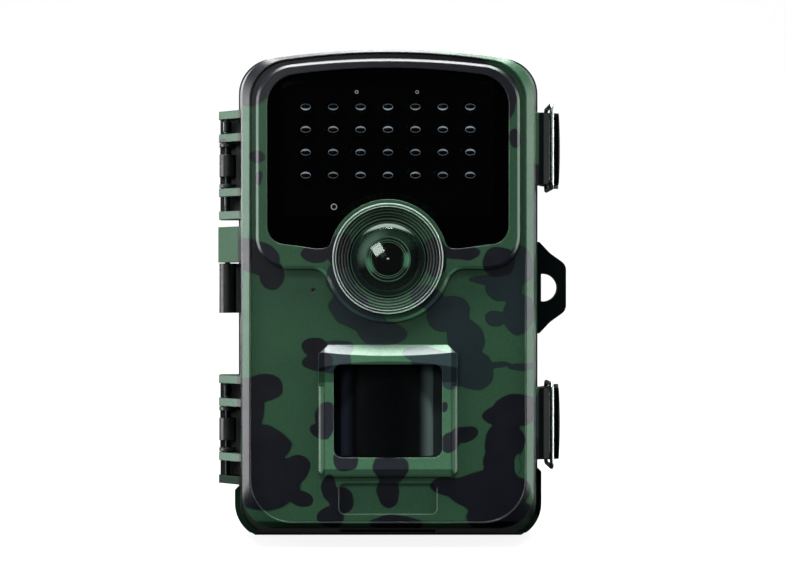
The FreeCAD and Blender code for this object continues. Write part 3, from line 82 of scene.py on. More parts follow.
# ---- Node helpers --------------------------------------------------------------------------------
class Nodes:
    """A thin builder for one material's node tree."""

    def __init__(self, name):
        self.material = bpy.data.materials.new(name)
        self.material.use_nodes = True
        self.tree = self.material.node_tree
        self.shader = self.tree.nodes["Principled BSDF"]
        coords = self.new("ShaderNodeTexCoord")
        self.coords = coords.outputs["Object"]
        self.normal = coords.outputs["Normal"]

    def new(self, kind, **settings):
        node = self.tree.nodes.new(kind)
        for key, value in settings.items():
            setattr(node, key, value)
        return node

    def link(self, source, target):
        self.tree.links.new(source, target)

    def feed(self, socket, value):
        if isinstance(value, bpy.types.NodeSocket):
            self.link(value, socket)
        else:
            socket.default_value = value

    def set(self, name, value):
        self.feed(self.shader.inputs[name], value)

    def math(self, operation, a, b=0.0, c=0.0):
        node = self.new("ShaderNodeMath", operation=operation)
        for socket, value in zip(node.inputs, (a, b, c)):
            self.feed(socket, value)
        return node.outputs[0]

    def vector(self, operation, a, b=(0.0, 0.0, 0.0)):
        node = self.new("ShaderNodeVectorMath", operation=operation)
        self.feed(node.inputs[0], a)
        self.feed(node.inputs[1], b)
        return node.outputs["Value"] if operation in ("LENGTH", "DISTANCE") else node.outputs[0]

    def scaled(self, vector, factor):
        node = self.new("ShaderNodeVectorMath", operation="SCALE")
        self.link(vector, node.inputs[0])
        self.feed(node.inputs["Scale"], factor)
        return node.outputs[0]

    def split(self, vector):
        node = self.new("ShaderNodeSeparateXYZ")
        self.link(vector, node.inputs[0])
        return node.outputs

    def joined(self, x, y, z):
        node = self.new("ShaderNodeCombineXYZ")
        for socket, value in zip(node.inputs, (x, y, z)):
            self.feed(socket, value)
        return node.outputs[0]

    def noise(self, size, detail=2.0, rough=0.5, vector=None, output="Fac"):
        """Noise whose lumps are about size metres across."""
        node = self.new("ShaderNodeTexNoise")
        node.inputs["Scale"].default_value = 1.0 / size
        node.inputs["Detail"].default_value = detail
        node.inputs["Roughness"].default_value = rough
        self.link(vector or self.coords, node.inputs["Vector"])
        return node.outputs[output]

    def ramp(self, fac, low, high, a=0.0, b=1.0):
        """fac between low and high, mapped smoothly to a and b."""
        node = self.new("ShaderNodeMapRange", interpolation_type="SMOOTHSTEP")
        for key, value in zip(("From Min", "From Max", "To Min", "To Max"), (low, high, a, b)):
            node.inputs[key].default_value = value
        self.feed(node.inputs["Value"], fac)
        return node.outputs[0]

    def mix(self, fac, a, b, blend="MIX"):
        """Colours a and b mixed by fac."""
        node = self.new("ShaderNodeMix", data_type="RGBA", blend_type=blend)
        self.feed(node.inputs["Factor"], fac)
        self.feed(node.inputs["A"], a)
        self.feed(node.inputs["B"], b)
        return node.outputs["Result"]

    def zone(self, place, bounds):
        """0 where place is at the first of the bounds or beyond it, and 1 at the second; both in mm."""
        return self.ramp(place, bounds[0] * MM, bounds[1] * MM)

    def times(self, *values):
        product = values[0]
        for value in values[1:]:
            product = self.math("MULTIPLY", product, value)
        return product

    def largest(self, *values):
        most = values[0]
        for value in values[1:]:
            most = self.math("MAXIMUM", most, value)
        return most

    def dimmed(self, colour, value):
        node = self.new("ShaderNodeHueSaturation")
        self.feed(node.inputs["Color"], colour)
        self.feed(node.inputs["Value"], value)
        return node.outputs[0]

    def bump(self, height, distance, strength=1.0, normal=None):
        node = self.new("ShaderNodeBump")
        node.inputs["Strength"].default_value = strength
        node.inputs["Distance"].default_value = distance
        self.link(height, node.inputs["Height"])
        if normal is not None:
            self.link(normal, node.inputs["Normal"])
        self.set("Normal", node.outputs[0])

    def rounded(self, radius, samples=4):
        """The surface normal with its sharp edges rounded by a small radius."""
        node = self.new("ShaderNodeBevel")
        node.samples = samples
        node.inputs["Radius"].default_value = radius
        return node.outputs[0]

    def square_on(self):
        """1 on faces that look straight up, down or sideways. Large softboxes stand above and beside them."""
        x, _, z = self.split(self.normal)
        lean = self.largest(self.math("ABSOLUTE", x), self.math("ABSOLUTE", z))
        return self.ramp(lean, *SQUARE_ON)

    def waves(self, place, pitch):
        """A sine of place, from -1 to 1, that repeats every pitch metres."""
        return self.math("SINE", self.times(place, 2 * math.pi / pitch))

    def worn_and_lit_edges(self, rounded_normal):
        """1 on sharp edges and 0 on flats, from how far the rounded normal leans from the true one; it places
        worn edges and painted highlights.
        """
        true_normal = self.new("ShaderNodeNewGeometry").outputs["Normal"]
        return self.ramp(self.vector("DISTANCE", rounded_normal, true_normal), 0.12, 0.6)


def srgb(r, g, b):
    """A linear colour from 0 to 255 display values."""
    def linear(c):
        c /= 255.0
        return c / 12.92 if c <= 0.04045 else ((c + 0.055) / 1.055) ** 2.4
    return (linear(r), linear(g), linear(b), 1.0)


def shade(colour, factor, lift=0.0):
    return tuple(min(1.0, c * factor + lift) for c in colour[:3]) + (1.0,)


# ---- General materials ---------------------------------------------------------------------------
def moulded(name, colour, rough=0.5, grain=0.25 * MM, height=0.02 * MM, edge=0.2 * MM, lift=0.06):
    """Moulded plastic: fine grain, slight mottling, rounded edges that catch the light, and a lighter tone
    along the edges for rubbed, worn edges and as a painted highlight.
    """
    n = Nodes(name)
    rounded = n.rounded(edge)
    rubbed_and_lit_edge = n.times(n.worn_and_lit_edges(rounded), 0.25)
    base = n.mix(n.noise(9 * MM, 4.0), shade(colour, 0.88), shade(colour, 1.12, 0.001))
    # Edges painted lighter: partly worn edges, partly a painted highlight.
    n.set("Base Color", n.mix(rubbed_and_lit_edge, base, shade(colour, 1.0, lift)))
    n.set("Roughness", n.ramp(n.noise(3 * MM, 3.0), 0.2, 0.8, rough - 0.07, rough + 0.07))
    n.set("Specular IOR Level", n.math("MULTIPLY_ADD", n.square_on(), -0.38, 0.5))
    n.bump(n.noise(grain, 1.0), height, 0.6, rounded)
    return n.material


def metal(name, colour, rough=0.28, brush=(1.0, 1.0, 1.0), edge=0.1 * MM):
    """Bare metal with fine drawing marks, stretched along the axis where brush is smallest."""
    n = Nodes(name)
    marks = n.noise(0.15 * MM, 3.0, 0.6, n.vector("MULTIPLY", n.coords, brush))
    n.set("Base Color", n.mix(n.noise(4 * MM, 4.0), shade(colour, 0.72), colour))
    n.set("Metallic", 1.0)
    n.set("Roughness", n.ramp(marks, 0.2, 0.8, rough - 0.1, rough + 0.14))
    n.bump(marks, 0.01 * MM, 0.4, n.rounded(edge))
    return n.material


# ---- Camouflage print ----------------------------------------------------------------------------
GREEN = srgb(47, 82, 59)
NAVY = srgb(10, 14, 24)
SLATE = srgb(27, 42, 46)
# EDGE_LIGHT: the pale tone for painted highlights on edges, the sensor block's brow and the bezel's beads,
# and for worn edges.
EDGE_LIGHT = srgb(196, 212, 202)

# Patches on the front as merged ellipses: centre x and z, half width, half height (mm).
NAVY_PATCHES = (
    (-34.5, 44, 5.3, 3.6), (-39.2, 38, 4.8, 8.5), (-35.5, 28.5, 8.6, 5.2), (-34.5, 18, 10.7, 8),
    (-25.6, 21.6, 4, 3.6), (-24, 13.2, 3.1, 2.5), (-35.4, 79.6, 5.3, 4.5), (-31.9, 75.1, 3.4, 4),
    (-39.4, 82.2, 3.6, 3.1), (-20.3, 80.9, 4, 2.5), (-16.7, 83.1, 2.7, 2.7), (-36.3, 107.6, 2.2, 1.8),
    (-35.4, 101.8, 1.1, 1.8), (-20.3, 55.5, 3.6, 2.5), (-19.4, 51.1, 4, 2.7), (-17.4, 35.4, 2.9, 4.6),
    (-18.7, 32.2, 2.8, 2.2), (-11.6, 24.2, 3.6, 3.2), (0.7, 21.7, 4.9, 4.5), (0.2, 15.4, 3.1, 4.5),
    (17.3, 29, 2.8, 2.8), (20.8, 31, 3.6, 2.5), (15.4, 38.6, 1.2, 1.6), (35.9, 37.7, 6.2, 4.5),
    (29.6, 36, 3.6, 2.4), (32.3, 29, 5.8, 5.3), (31.6, 23, 5, 5.6), (27.8, 15.4, 11.6, 5.3),
    (17.8, 16.6, 6, 2.6), (32.3, 8.3, 10.7, 4.5), (-16.3, 16.3, 2.2, 4), (-13.2, 12.7, 3.6, 3.6),
    (-15.8, 8.3, 3.6, 2.7), (2, 6.5, 7.1, 2.2), (19.8, 81.4, 5.3, 2.2), (30.5, 78.7, 4.5, 4),
    (35, 112.5, 1.8, 2.7), (-38, 133, 8, 11), (-6, 131, 36, 7), (30, 124, 6, 7), (13, 80, 3.4, 5.2),
    (-13, 81.5, 3.6, 4.6),
)
SLATE_PATCHES = (
    (-10.5, 66.2, 5.3, 5.3), (-1.6, 59.1, 7.1, 3.6), (-6, 62.6, 5.3, 3.6), (16.3, 64.4, 6.2, 4.9),
    (21.6, 57.4, 5.2, 5.2), (23.6, 48.8, 5.4, 5.6), (10.9, 68.9, 4.5, 3.6), (30.5, 50.3, 3.4, 0.9),
    (37, 49.5, 3.6, 1.1), (32.3, 72.4, 5.3, 4.5), (36.3, 64.4, 4.5, 5.3), (29.6, 63.1, 2.7, 2.2),
    (36.7, 77.8, 3.6, 5.3), (26, 73.8, 3.6, 1.1), (-12.8, 74.5, 3.8, 5.2), (-14, 54.6, 4.5, 2.5),
    (9.1, 53.3, 5, 2), (-15.2, 51.2, 5.2, 3.0), (13, 51.2, 6.4, 3.4), (17.6, 47.2, 3.4, 3.8),
)
GREEN_HOLES = ((37.6, 22.5, 2.7, 3.6),)

# The front's outline: half width, lowest z and highest z (mm).
FRONT_OUTLINE = (42.5, 1.0, 138.0)

# Zones of the printed shell, in mm, most of them where light and shade are painted: each starts to show at
# the first value and is full at the second.
HINGE_SIDE_X = (-42.8, -43.4)
CATCH_X = (42.6, 43.2)
FOOT_Z = (20.0, 19.4)
FOOT_Y = (-45.2, -44.6)
BASE_Z = (7.4, 6.6)
BLOCK_X = (19.4, 19.2)
BLOCK_Y = (-46.5, -47.2)
BLOCK_Z = (56.5, 56.0)
BLOCK_SIDE_X = (17.2, 17.6)
WINDOW_FRAME_Y = (-46.9, -47.5)
WINDOW_FRAME_Z = (80.0, 96.0)
LINTEL_Y = (-45.4, -45.8)
LINTEL_Z = (60.0, 62.0)
MIC_HOLE = (-20.5 * MM, 0.0, 71.0 * MM)
MIC_RADIUS = (0.62, 0.50)
MIC_Y = (-44.0, -45.0)


def unrolled(n):
    """Front-view coordinates that run on around the sides, top and base without stretching."""
    x, y, z = n.split(n.coords)
    lean_x, _, lean_z = n.split(n.normal)
    depth = n.math("MAXIMUM", n.math("ADD", y, 45 * MM), 0.0)
    return n.joined(n.math("MULTIPLY_ADD", depth, lean_x, x), 0.0, n.math("MULTIPLY_ADD", depth, lean_z, z))


def reach(n, place, ellipses, softness=0.3):
    """How far place lies out from a group of merged ellipses: 1 on their common edge."""
    field = None
    for x, z, half_w, half_h in ellipses:
        node = n.new("ShaderNodeMapping", vector_type="TEXTURE")
        n.link(place, node.inputs["Vector"])
        node.inputs["Location"].default_value = (x * MM, 0.0, z * MM)
        node.inputs["Scale"].default_value = (half_w * MM, 1.0, half_h * MM)
        distance = n.vector("LENGTH", node.outputs[0])
        field = distance if field is None else n.math("SMOOTH_MIN", field, distance, softness)
    return field


def off_front(n, place):
    """1 where the unrolled place is beyond the front's outline, so on the sides, the top or the base."""
    x, _, z = n.split(place)
    half_w, low, high = (v * MM for v in FRONT_OUTLINE)
    sideways = n.math("SUBTRACT", n.math("ABSOLUTE", x), half_w)
    over = n.math("SUBTRACT", z, high)
    under = n.math("SUBTRACT", low, z)
    return n.zone(n.largest(sideways, over, under), (0.0, 1.0))


def camo_print(n):
    """The colour of the print, and 1 where one of its patches covers the green."""
    flat = unrolled(n)
    shake = n.vector("SUBTRACT", n.noise(7 * MM, 1.0, vector=flat, output="Color"), (0.5, 0.5, 0.5))
    place = n.vector("MULTIPLY", n.vector("ADD", flat, n.scaled(shake, 2.6 * MM)), (1.0, 0.0, 1.0))
    elsewhere = off_front(n, flat)
    hinge_side = n.times(n.zone(n.split(n.coords)[0], HINGE_SIDE_X), 0.2)

    def layer(ellipses, drift, level):
        """1 inside the patches, and the strength of the dark line along their edge.

        Off the front the patches come from noise, and a lower level gives more of them.
        """
        edge = n.math("SUBTRACT", 1.0, reach(n, place, ellipses))
        cloud = n.noise(22 * MM, 0.5, vector=n.vector("ADD", place, drift))
        free = n.times(n.math("SUBTRACT", cloud, n.math("ADD", level, hinge_side)), 9.0)
        field = n.new("ShaderNodeMix", data_type="FLOAT")
        for socket, value in zip(("Factor", "A", "B"), (elsewhere, edge, free)):
            n.feed(field.inputs[socket], value)
        field = field.outputs["Result"]
        line = n.ramp(n.math("ABSOLUTE", field), 0.015, 0.07, 0.35, 0.0)
        return n.ramp(field, -0.015, 0.015), line

    slate, slate_line = layer(SLATE_PATCHES, (0.05, 0.7, 0.12), 0.56)
    navy, navy_line = layer(NAVY_PATCHES, (0.83, 0.1, 0.53), 0.53)
    navy = n.times(navy, n.ramp(reach(n, place, GREEN_HOLES), 0.98, 1.02))
    colour = n.mix(navy, n.mix(slate, GREEN, SLATE), NAVY)
    return n.mix(n.largest(slate_line, navy_line), colour, DARK), n.largest(slate, navy)


def camo(name, dim=1.0, gloss=1.0, pale=0.0):
    """Satin plastic with a three-colour camouflage print of smooth lobed patches.

    dim scales its colour as painted light or shade, gloss scales how strongly it mirrors, and pale mixes in a
    light tone as a painted highlight.
    """
    n = Nodes(name)
    colour, patch = camo_print(n)
    x, y, z = n.split(n.coords)
    up = n.split(n.normal)[2]
    from_middle = n.math("ABSOLUTE", x)
    catch = n.zone(x, CATCH_X)
    foot = n.largest(n.times(n.zone(z, FOOT_Z), n.zone(y, FOOT_Y)), n.zone(z, BASE_Z))
    block = n.times(n.zone(from_middle, BLOCK_X), n.zone(y, BLOCK_Y), n.zone(z, BLOCK_Z))
    block_side = n.times(block, n.zone(from_middle, BLOCK_SIDE_X))
    brow = n.times(block, n.ramp(up, 0.25, 0.6))
    window_frame = n.times(n.zone(y, WINDOW_FRAME_Y), n.zone(z, WINDOW_FRAME_Z))
    lintel = n.times(n.ramp(up, -0.3, -0.6), n.zone(z, LINTEL_Z), n.zone(y, LINTEL_Y))
    top = n.ramp(up, *SQUARE_ON)

    # Painted shade: the latch catch, which sits in shade, is coloured near black.
    colour = n.mix(catch, colour, srgb(9, 14, 15))
    # Painted highlight: the sensor block's brow, and faintly the whole block, mixed towards the pale tone.
    colour = n.mix(n.math("MULTIPLY_ADD", brow, 0.10, n.times(block, 0.012)), colour, EDGE_LIGHT)
    colour = n.mix(pale, colour, EDGE_LIGHT)
    # Painted light and shade: each zone changes the brightness by this share where it is full. The lintel's
    # downward faces and the sensor block are painted lighter as painted highlight; the window frame, the
    # block's sides, the top faces and the foot and base are painted darker as painted shade.
    changes = ((window_frame, -0.15), (lintel, 2.5), (block, 1.25), (block_side, -0.5), (top, -0.5),
               (foot, -0.7))
    light = [n.math("MULTIPLY_ADD", zone, change, 1.0) for zone, change in changes]
    colour = n.dimmed(colour, n.times(*light))
    # Painted shade: a dark ring round the microphone hole.
    from_hole = n.vector("DISTANCE", n.joined(x, 0.0, z), MIC_HOLE)
    colour = n.mix(n.times(n.zone(from_hole, MIC_RADIUS), n.zone(y, MIC_Y)), colour, DARK)

    dull = n.largest(catch, foot, block_side, n.times(n.square_on(), 0.85))
    n.set("Specular IOR Level", n.math("MULTIPLY_ADD", dull, -0.45 * gloss, 0.5 * gloss))
    n.set("Specular Tint", n.mix(patch, (0.82, 1.0, 0.90, 1.0), WHITE))
    speckle = n.ramp(n.noise(0.5 * MM, 3.0, 0.7), 0.2, 0.8, 0.82 * dim, 1.18 * dim)
    rounded = n.rounded(0.35 * MM)
    # Edges painted towards the pale tone: partly worn edges, partly a painted highlight; less of it on the
    # catch.
    rubbed_and_lit_edge = n.times(n.worn_and_lit_edges(rounded), n.math("MULTIPLY_ADD", catch, -0.07, 0.07))
    n.set("Base Color", n.mix(rubbed_and_lit_edge, n.dimmed(colour, speckle), EDGE_LIGHT))
    n.set("Roughness", n.ramp(n.noise(4 * MM, 3.0), 0.2, 0.8, 0.30, 0.36))
    n.bump(n.noise(0.3 * MM, 2.0), 0.02 * MM, 0.5, rounded)
    return n.material


# ---- Clear and dark optics -----------------------------------------------------------------------
def clear_sheet(name, tint, gloss=WHITE, rough=0.03, ior=1.5, clear_box=None):
    """A thin see-through sheet: what is behind it shows tinted, and its surface mirrors the lights.

    clear_box is the half width and lowest and highest z (mm) of its clear part; beyond that it is black.
    """
    n = Nodes(name)
    see = n.new("ShaderNodeBsdfTransparent")
    colour = n.mix(n.noise(20 * MM, 2.0), tint, shade(tint, 0.9))
    if clear_box:
        half_w, low, high = (v * MM for v in clear_box)
        x, _, z = n.split(n.coords)
        inside = n.ramp(n.math("ABSOLUTE", x), half_w, half_w + 1 * MM, 1.0, 0.0)
        inside = n.times(inside, n.ramp(z, low - 1 * MM, low), n.ramp(z, high, high + 1 * MM, 1.0, 0.0))
        colour = n.mix(inside, DARK, colour)
    n.feed(see.inputs["Color"], colour)
    mirror = n.new("ShaderNodeBsdfGlossy")
    n.feed(mirror.inputs["Color"], gloss)
    n.feed(mirror.inputs["Roughness"], n.ramp(n.noise(6 * MM, 2.0), 0.3, 0.8, rough, rough + 0.02))
    fresnel = n.new("ShaderNodeFresnel")
    fresnel.inputs["IOR"].default_value = ior
    blend = n.new("ShaderNodeMixShader")
    n.link(fresnel.outputs[0], blend.inputs[0])
    n.link(see.outputs[0], blend.inputs[1])
    n.link(mirror.outputs[0], blend.inputs[2])
    n.link(blend.outputs[0], n.tree.nodes["Material Output"].inputs["Surface"])
    n.tree.nodes.remove(n.shader)
    return n.material


def lens_polar(n):
    """Distance from the optical axis, and how far right and how far up that direction points."""
    x, _, z = n.split(n.vector("SUBTRACT", n.coords, (0.0, 0.0, LENS_Z * MM)))
    square = n.math("MULTIPLY_ADD", x, x, n.times(z, z))
    radius = n.math("MAXIMUM", n.math("SQRT", square), 0.1 * MM)
    return radius, n.math("DIVIDE", x, radius), n.math("DIVIDE", z, radius)


def lobe(n, polar, angle, spread, inner, outer):
    """1 in the middle of a soft patch of a ring, spread degrees to each side of angle.

    Angles run from +X towards +Z. The patch fades in between the inner radii and out between the outer (mm).
    """
    radius, across, up = polar
    a, edge = math.radians(angle), math.cos(math.radians(spread))
    facing = n.math("MULTIPLY_ADD", up, math.sin(a), n.times(across, math.cos(a)))
    return n.times(n.ramp(facing, edge, 1.0), n.zone(radius, inner), n.zone(radius, outer[::-1]))


# Painted reflections inside the lens, given as emission: angle, spread, inner radii, outer radii, colour. The
# last is the pupil's bright dot, a painted glint.
PAINTED_LENS_REFLECTIONS = (
    (143, 62, (5.2, 6.8), (6.8, 9.6), (96, 118, 106)),
    (62, 48, (5.4, 6.6), (6.8, 9.4), (34, 56, 45)),
    (357, 28, (4.0, 5.4), (5.4, 6.6), (104, 158, 128)),
    (198, 28, (4.0, 5.4), (5.4, 6.6), (84, 138, 106)),
    (270, 180, (5.2, 6.2), (6.2, 8.6), (4, 14, 11)),
    (90, 180, (0.0, 0.01), (0.25, 0.45), (240, 244, 244)),
)


def coated_glass_black(name):
    """Black inside of the lens, with the green reflections of its coated glasses painted on as emission."""
    n = Nodes(name)
    polar = lens_polar(n)
    # Painted reflections, summed as emission.
    glow = DARK
    for angle, spread, inner, outer, colour in PAINTED_LENS_REFLECTIONS:
        patch = lobe(n, polar, angle, spread, inner, outer)
        glow = n.mix(1.0, glow, n.mix(patch, DARK, srgb(*colour)), "ADD")
    n.set("Base Color", n.mix(n.noise(2 * MM, 1.0), srgb(2, 3, 4), srgb(5, 7, 8)))
    n.set("Emission Color", glow)
    n.set("Emission Strength", 1.0)
    n.set("Roughness", n.ramp(n.noise(2 * MM, 1.0), 0.3, 0.7, 0.10, 0.16))
    n.set("Specular IOR Level", 0.15)
    return n.material


def trim_ring(name):
    """Slate ring round the lens glass, with the light of the room painted along its top as a pale crescent of
    emission, a painted reflection.
    """
    n = Nodes(name)
    radius, _, up = lens_polar(n)
    inner = n.ramp(up, 0.6, 1.0, 9.5 * MM, 8.6 * MM)
    within = n.zone(n.math("SUBTRACT", radius, inner), (0.0, 0.5))
    crescent = n.times(n.ramp(up, 0.58, 0.98), within, n.zone(radius, (10.1, 9.6)))
    streaks = n.waves(radius, 0.45 * MM)
    lit = n.times(crescent, n.ramp(streaks, -1.0, 1.0, 0.75, 1.0))
    n.set("Base Color", n.mix(n.noise(3 * MM, 2.0), srgb(30, 40, 44), srgb(38, 50, 54)))
    n.set("Emission Color", n.mix(lit, srgb(16, 22, 25), srgb(226, 236, 231)))
    n.set("Emission Strength", n.ramp(lit, 0.0, 1.0, 0.8, 1.1))
    n.set("Roughness", 0.3)
    return n.material


def fresnel_lens(name):
    """Dark film of the movement sensor, with rings of fine grooves in a grid of lens cells.

    Painted reflections of the side lights make the film paler towards both sides, where it bends away from
    the front.
    """
    n = Nodes(name)
    x, _, z = n.split(n.coords)
    cell = 6.4 * MM
    local = [n.math("SUBTRACT", n.math("PINGPONG", v, cell), cell / 2) for v in (x, z)]
    radius = n.math("SQRT", n.math("ADD", *(n.times(v, v) for v in local)))
    grooves = n.waves(radius, 0.45 * MM)
    # Painted reflections: a pale band near each side of the film.
    right = n.times(n.zone(x, (8.4, 12.4)), n.ramp(x, 12.4 * MM, 12.8 * MM, 1.0, 0.1))
    left = n.times(n.zone(x, (-8.8, -12.6)), n.ramp(x, -12.8 * MM, -13.2 * MM, 1.0, 0.1))
    film = n.mix(n.noise(1.2 * MM, 3.0), srgb(2, 2, 5), srgb(8, 11, 13))
    film = n.mix(left, film, srgb(52, 58, 72))
    n.set("Base Color", n.mix(right, film, srgb(150, 172, 170)))
    n.set("Roughness", n.ramp(n.noise(3 * MM, 2.0), 0.3, 0.7, 0.50, 0.58))
    n.set("Specular IOR Level", 0.04)
    n.bump(grooves, 0.006 * MM, 0.25)
    return n.material


def lit_rim(name, colour, glow):
    """A bright edge with a faint glow of its own, which stands for the light that it would reflect."""
    n = Nodes(name)
    n.set("Base Color", n.mix(n.noise(1 * MM, 2.0), shade(colour, 0.85), colour))
    n.set("Roughness", n.ramp(n.noise(0.6 * MM, 2.0), 0.2, 0.8, 0.3, 0.45))
    n.set("Emission Color", colour)
    n.set("Emission Strength", n.ramp(n.noise(5 * MM, 2.0), 0.3, 0.7, glow * 0.6, glow * 1.2))
    return n.material


# ---- Inside materials ----------------------------------------------------------------------------
def cell_wrap(name):
    """Shrink-wrapped cells: a dark body, a pale band near one end, bare metal at both ends."""
    n = Nodes(name)
    row_low, half_row = 13.2 * MM, 58.4 * MM
    z = n.split(n.coords)[2]
    in_row = n.math("PINGPONG", n.math("SUBTRACT", z, row_low), half_row)
    body = n.mix(n.noise(6 * MM, 2.0), srgb(22, 58, 48), srgb(28, 70, 58))
    band = n.times(n.zone(in_row, (43.0, 43.2)), n.zone(in_row, (50.2, 50.0)))
    ends = n.math("SUBTRACT", 1.0, n.math("ABSOLUTE", n.split(n.normal)[2]))
    bare = n.ramp(ends, 0.3, 0.5, 1.0, 0.0)
    colour = n.mix(band, body, srgb(196, 180, 120))
    n.set("Base Color", n.mix(bare, colour, srgb(190, 190, 186)))
    n.set("Metallic", bare)
    n.set("Roughness", n.ramp(n.noise(3 * MM, 2.0), 0.2, 0.8, 0.22, 0.32))
    n.bump(n.noise(4 * MM, 2.0), 0.02 * MM, 0.4)
    return n.material


def board(name, mask, trace_tint, gloss=0.5):
    """A printed circuit board: solder mask with copper tracks running under it."""
    n = Nodes(name)
    x, _, z = n.split(n.coords)
    bricks = n.new("ShaderNodeTexBrick", offset=0.37, squash=1.6, squash_frequency=3)
    for key, value in (("Scale", 1.0 / (4 * MM)), ("Mortar Size", 0.06), ("Mortar Smooth", 0.2)):
        bricks.inputs[key].default_value = value
    n.link(n.joined(x, z, 0.0), bricks.inputs["Vector"])
    patchy = n.times(bricks.outputs["Fac"], n.ramp(n.noise(14 * MM, 1.0), 0.45, 0.5))
    base = n.mix(n.noise(10 * MM, 2.0), shade(mask, 0.85), shade(mask, 1.15))
    n.set("Base Color", n.mix(patchy, base, trace_tint))
    n.set("Roughness", n.ramp(n.noise(2 * MM, 2.0), 0.2, 0.8, 0.28, 0.38))
    n.set("Specular IOR Level", gloss)
    n.bump(patchy, 0.03 * MM, 0.6)
    return n.material


def display(name):
    """A dark liquid-crystal panel with a faint grid of picture elements."""
    n = Nodes(name)
    x, _, z = n.split(n.coords)
    grid = n.times(*(n.waves(v, 0.5 * MM) for v in (x, z)))
    n.set("Base Color", n.mix(n.ramp(grid, -1.0, 1.0), srgb(24, 30, 38), srgb(34, 42, 52)))
    n.set("Roughness", 0.18)
    n.bump(grid, 0.002 * MM, 0.3)
    return n.material


def build_materials():
    return {
        "camo_shell": camo("camo_shell"),
        # The lever's copy of the print is painted darker, as painted shade.
        "camo_lever": camo("camo_lever", 0.5, 0.15),
        "black_shell": moulded("black_shell", srgb(15, 18, 20), 0.42, lift=0.05),
        "black_inner": moulded("black_inner", srgb(20, 21, 23), 0.55, lift=0.04),
        "seal_rubber": moulded("seal_rubber", srgb(18, 18, 19), 0.75, 0.5 * MM, lift=0.03),
        "pin_steel": metal("pin_steel", srgb(176, 184, 182), 0.22, ALONG_Z),
        "screw_steel": metal("screw_steel", srgb(165, 168, 172), 0.30),
        "brass_insert": metal("brass_insert", srgb(205, 165, 90), 0.25),
        "nickel_contact": metal("nickel_contact", srgb(200, 196, 186), 0.22),
        "cell_wrap": cell_wrap("cell_wrap"),
        "lead_pvc": moulded("lead_pvc", srgb(150, 22, 18), 0.40),
        "window_black": clear_sheet("window_black", (0.58, 0.60, 0.64, 1.0), shade(WHITE, 0.6), 0.04, 1.40,
                                    (29.0, 92.0, 128.6)),
        "window_clear": clear_sheet("window_clear", (0.75, 0.76, 0.78, 1.0)),
        "lens_coated": clear_sheet("lens_coated", (0.82, 0.90, 0.86, 1.0), (0.88, 1.0, 0.93, 1.0),
                                   0.05, 1.7),
        "barrel_black": moulded("barrel_black", srgb(5, 7, 8), 0.38, 0.2 * MM, lift=0.05),
        "filter_glass": moulded("filter_glass", srgb(120, 50, 70), 0.12),
        "sensor_die": moulded("sensor_die", srgb(60, 48, 84), 0.15),
        "circuit_board": board("circuit_board", srgb(16, 70, 40), srgb(40, 110, 62)),
        "led_clear": moulded("led_clear", srgb(8, 9, 13), 0.10, 2 * MM, 0.004 * MM, lift=0.0),
        "pir_black": fresnel_lens("pir_black"),
        "chip_black": moulded("chip_black", srgb(24, 24, 26), 0.6, lift=0.03),
        "display": display("display"),
        "key_grey": moulded("key_grey", srgb(96, 102, 104), 0.6, 0.4 * MM),
        "card_black": moulded("card_black", srgb(22, 28, 48), 0.5),
    }


def dress_nodes(materials):
    """Gives each CAD node its slot's material, or one of its own."""
    coated = coated_glass_black("coated_glass_black")
    own = {
        "led_board": board("led_board_black", srgb(2, 2, 3), srgb(5, 5, 6), 0.1),
        "lens_front_element": coated,
        "lens_barrel": coated,
        # The bezel's copy of the print is painted a little darker, as painted shade beside its highlights.
        "lens_bezel": camo("camo_bezel", 0.8, 0.6),
        "hinge_pins": metal("hinge_steel", srgb(34, 38, 38), 0.30, ALONG_Z),
    }
    for part in frame["record"]["subparts"]:
        obj = frame["nodes"][part["node"]]
        obj.data.materials.clear()
        obj.data.materials.append(own.get(part["node"], materials[part["material_slot"]]))


# ---- Mesh helpers --------------------------------------------------------------------------------
def piece(name, bm, material, body=None):
    """Turns bm into a smooth piece that rides on body, or on nothing yet if body is None."""
    bmesh.ops.recalc_face_normals(bm, faces=bm.faces)
    mesh = bpy.data.meshes.new(name)
    bm.to_mesh(mesh)
    bm.free()
    mesh.polygons.foreach_set("use_smooth", [True] * len(mesh.polygons))
    mesh.materials.append(material)
    obj = bpy.data.objects.new(name, mesh)
    bpy.context.scene.collection.objects.link(obj)
    if body:
        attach(obj, body)
    return obj


def turn(steps):
    """The angles of a full turn in equal steps."""
    return [2 * math.pi * i / steps for i in range(steps)]


def skin(bm, rings, closed):
    """Faces between neighbouring rings of points; the ends are capped if the run isn't closed."""
    count = len(rings[0])
    pairs = list(zip(rings, rings[1:])) + ([(rings[-1], rings[0])] if closed else [])
    for a, b in pairs:
        for i in range(count):
            k = (i + 1) % count
            bm.faces.new((a[i], a[k], b[k], b[i]))
    if not closed:
        bm.faces.new(rings[0])
        bm.faces.new(rings[-1])


def tube(bm, points, radii, up, closed=False, sides=8):
    """A round tube through points, with one radius per point. up is never along the path."""
    up = Vector(up).normalized()
    rings = []
    last = len(points) - 1
    for i, (point, radius) in enumerate(zip(points, radii)):
        before = points[i - 1] if i or closed else points[0]
        after = points[(i + 1) % len(points)] if i < last or closed else points[last]
        side = (after - before).cross(up).normalized()
        rise = side.cross(after - before).normalized()
        spokes = [radius * (math.cos(a) * side + math.sin(a) * rise) for a in turn(sides)]
        rings.append([bm.verts.new(point + spoke) for spoke in spokes])
    skin(bm, rings, closed)


def lathe(bm, profile, x, z, steps=96):
    """A closed profile of (radius, y), in millimetres, turned about the line through x and z along Y."""
    rings = []
    for a in turn(steps):
        points = [Vector((x + r * math.cos(a), y, z + r * math.sin(a))) for r, y in profile]
        rings.append([bm.verts.new(point * MM) for point in points])
    skin(bm, rings, closed=True)


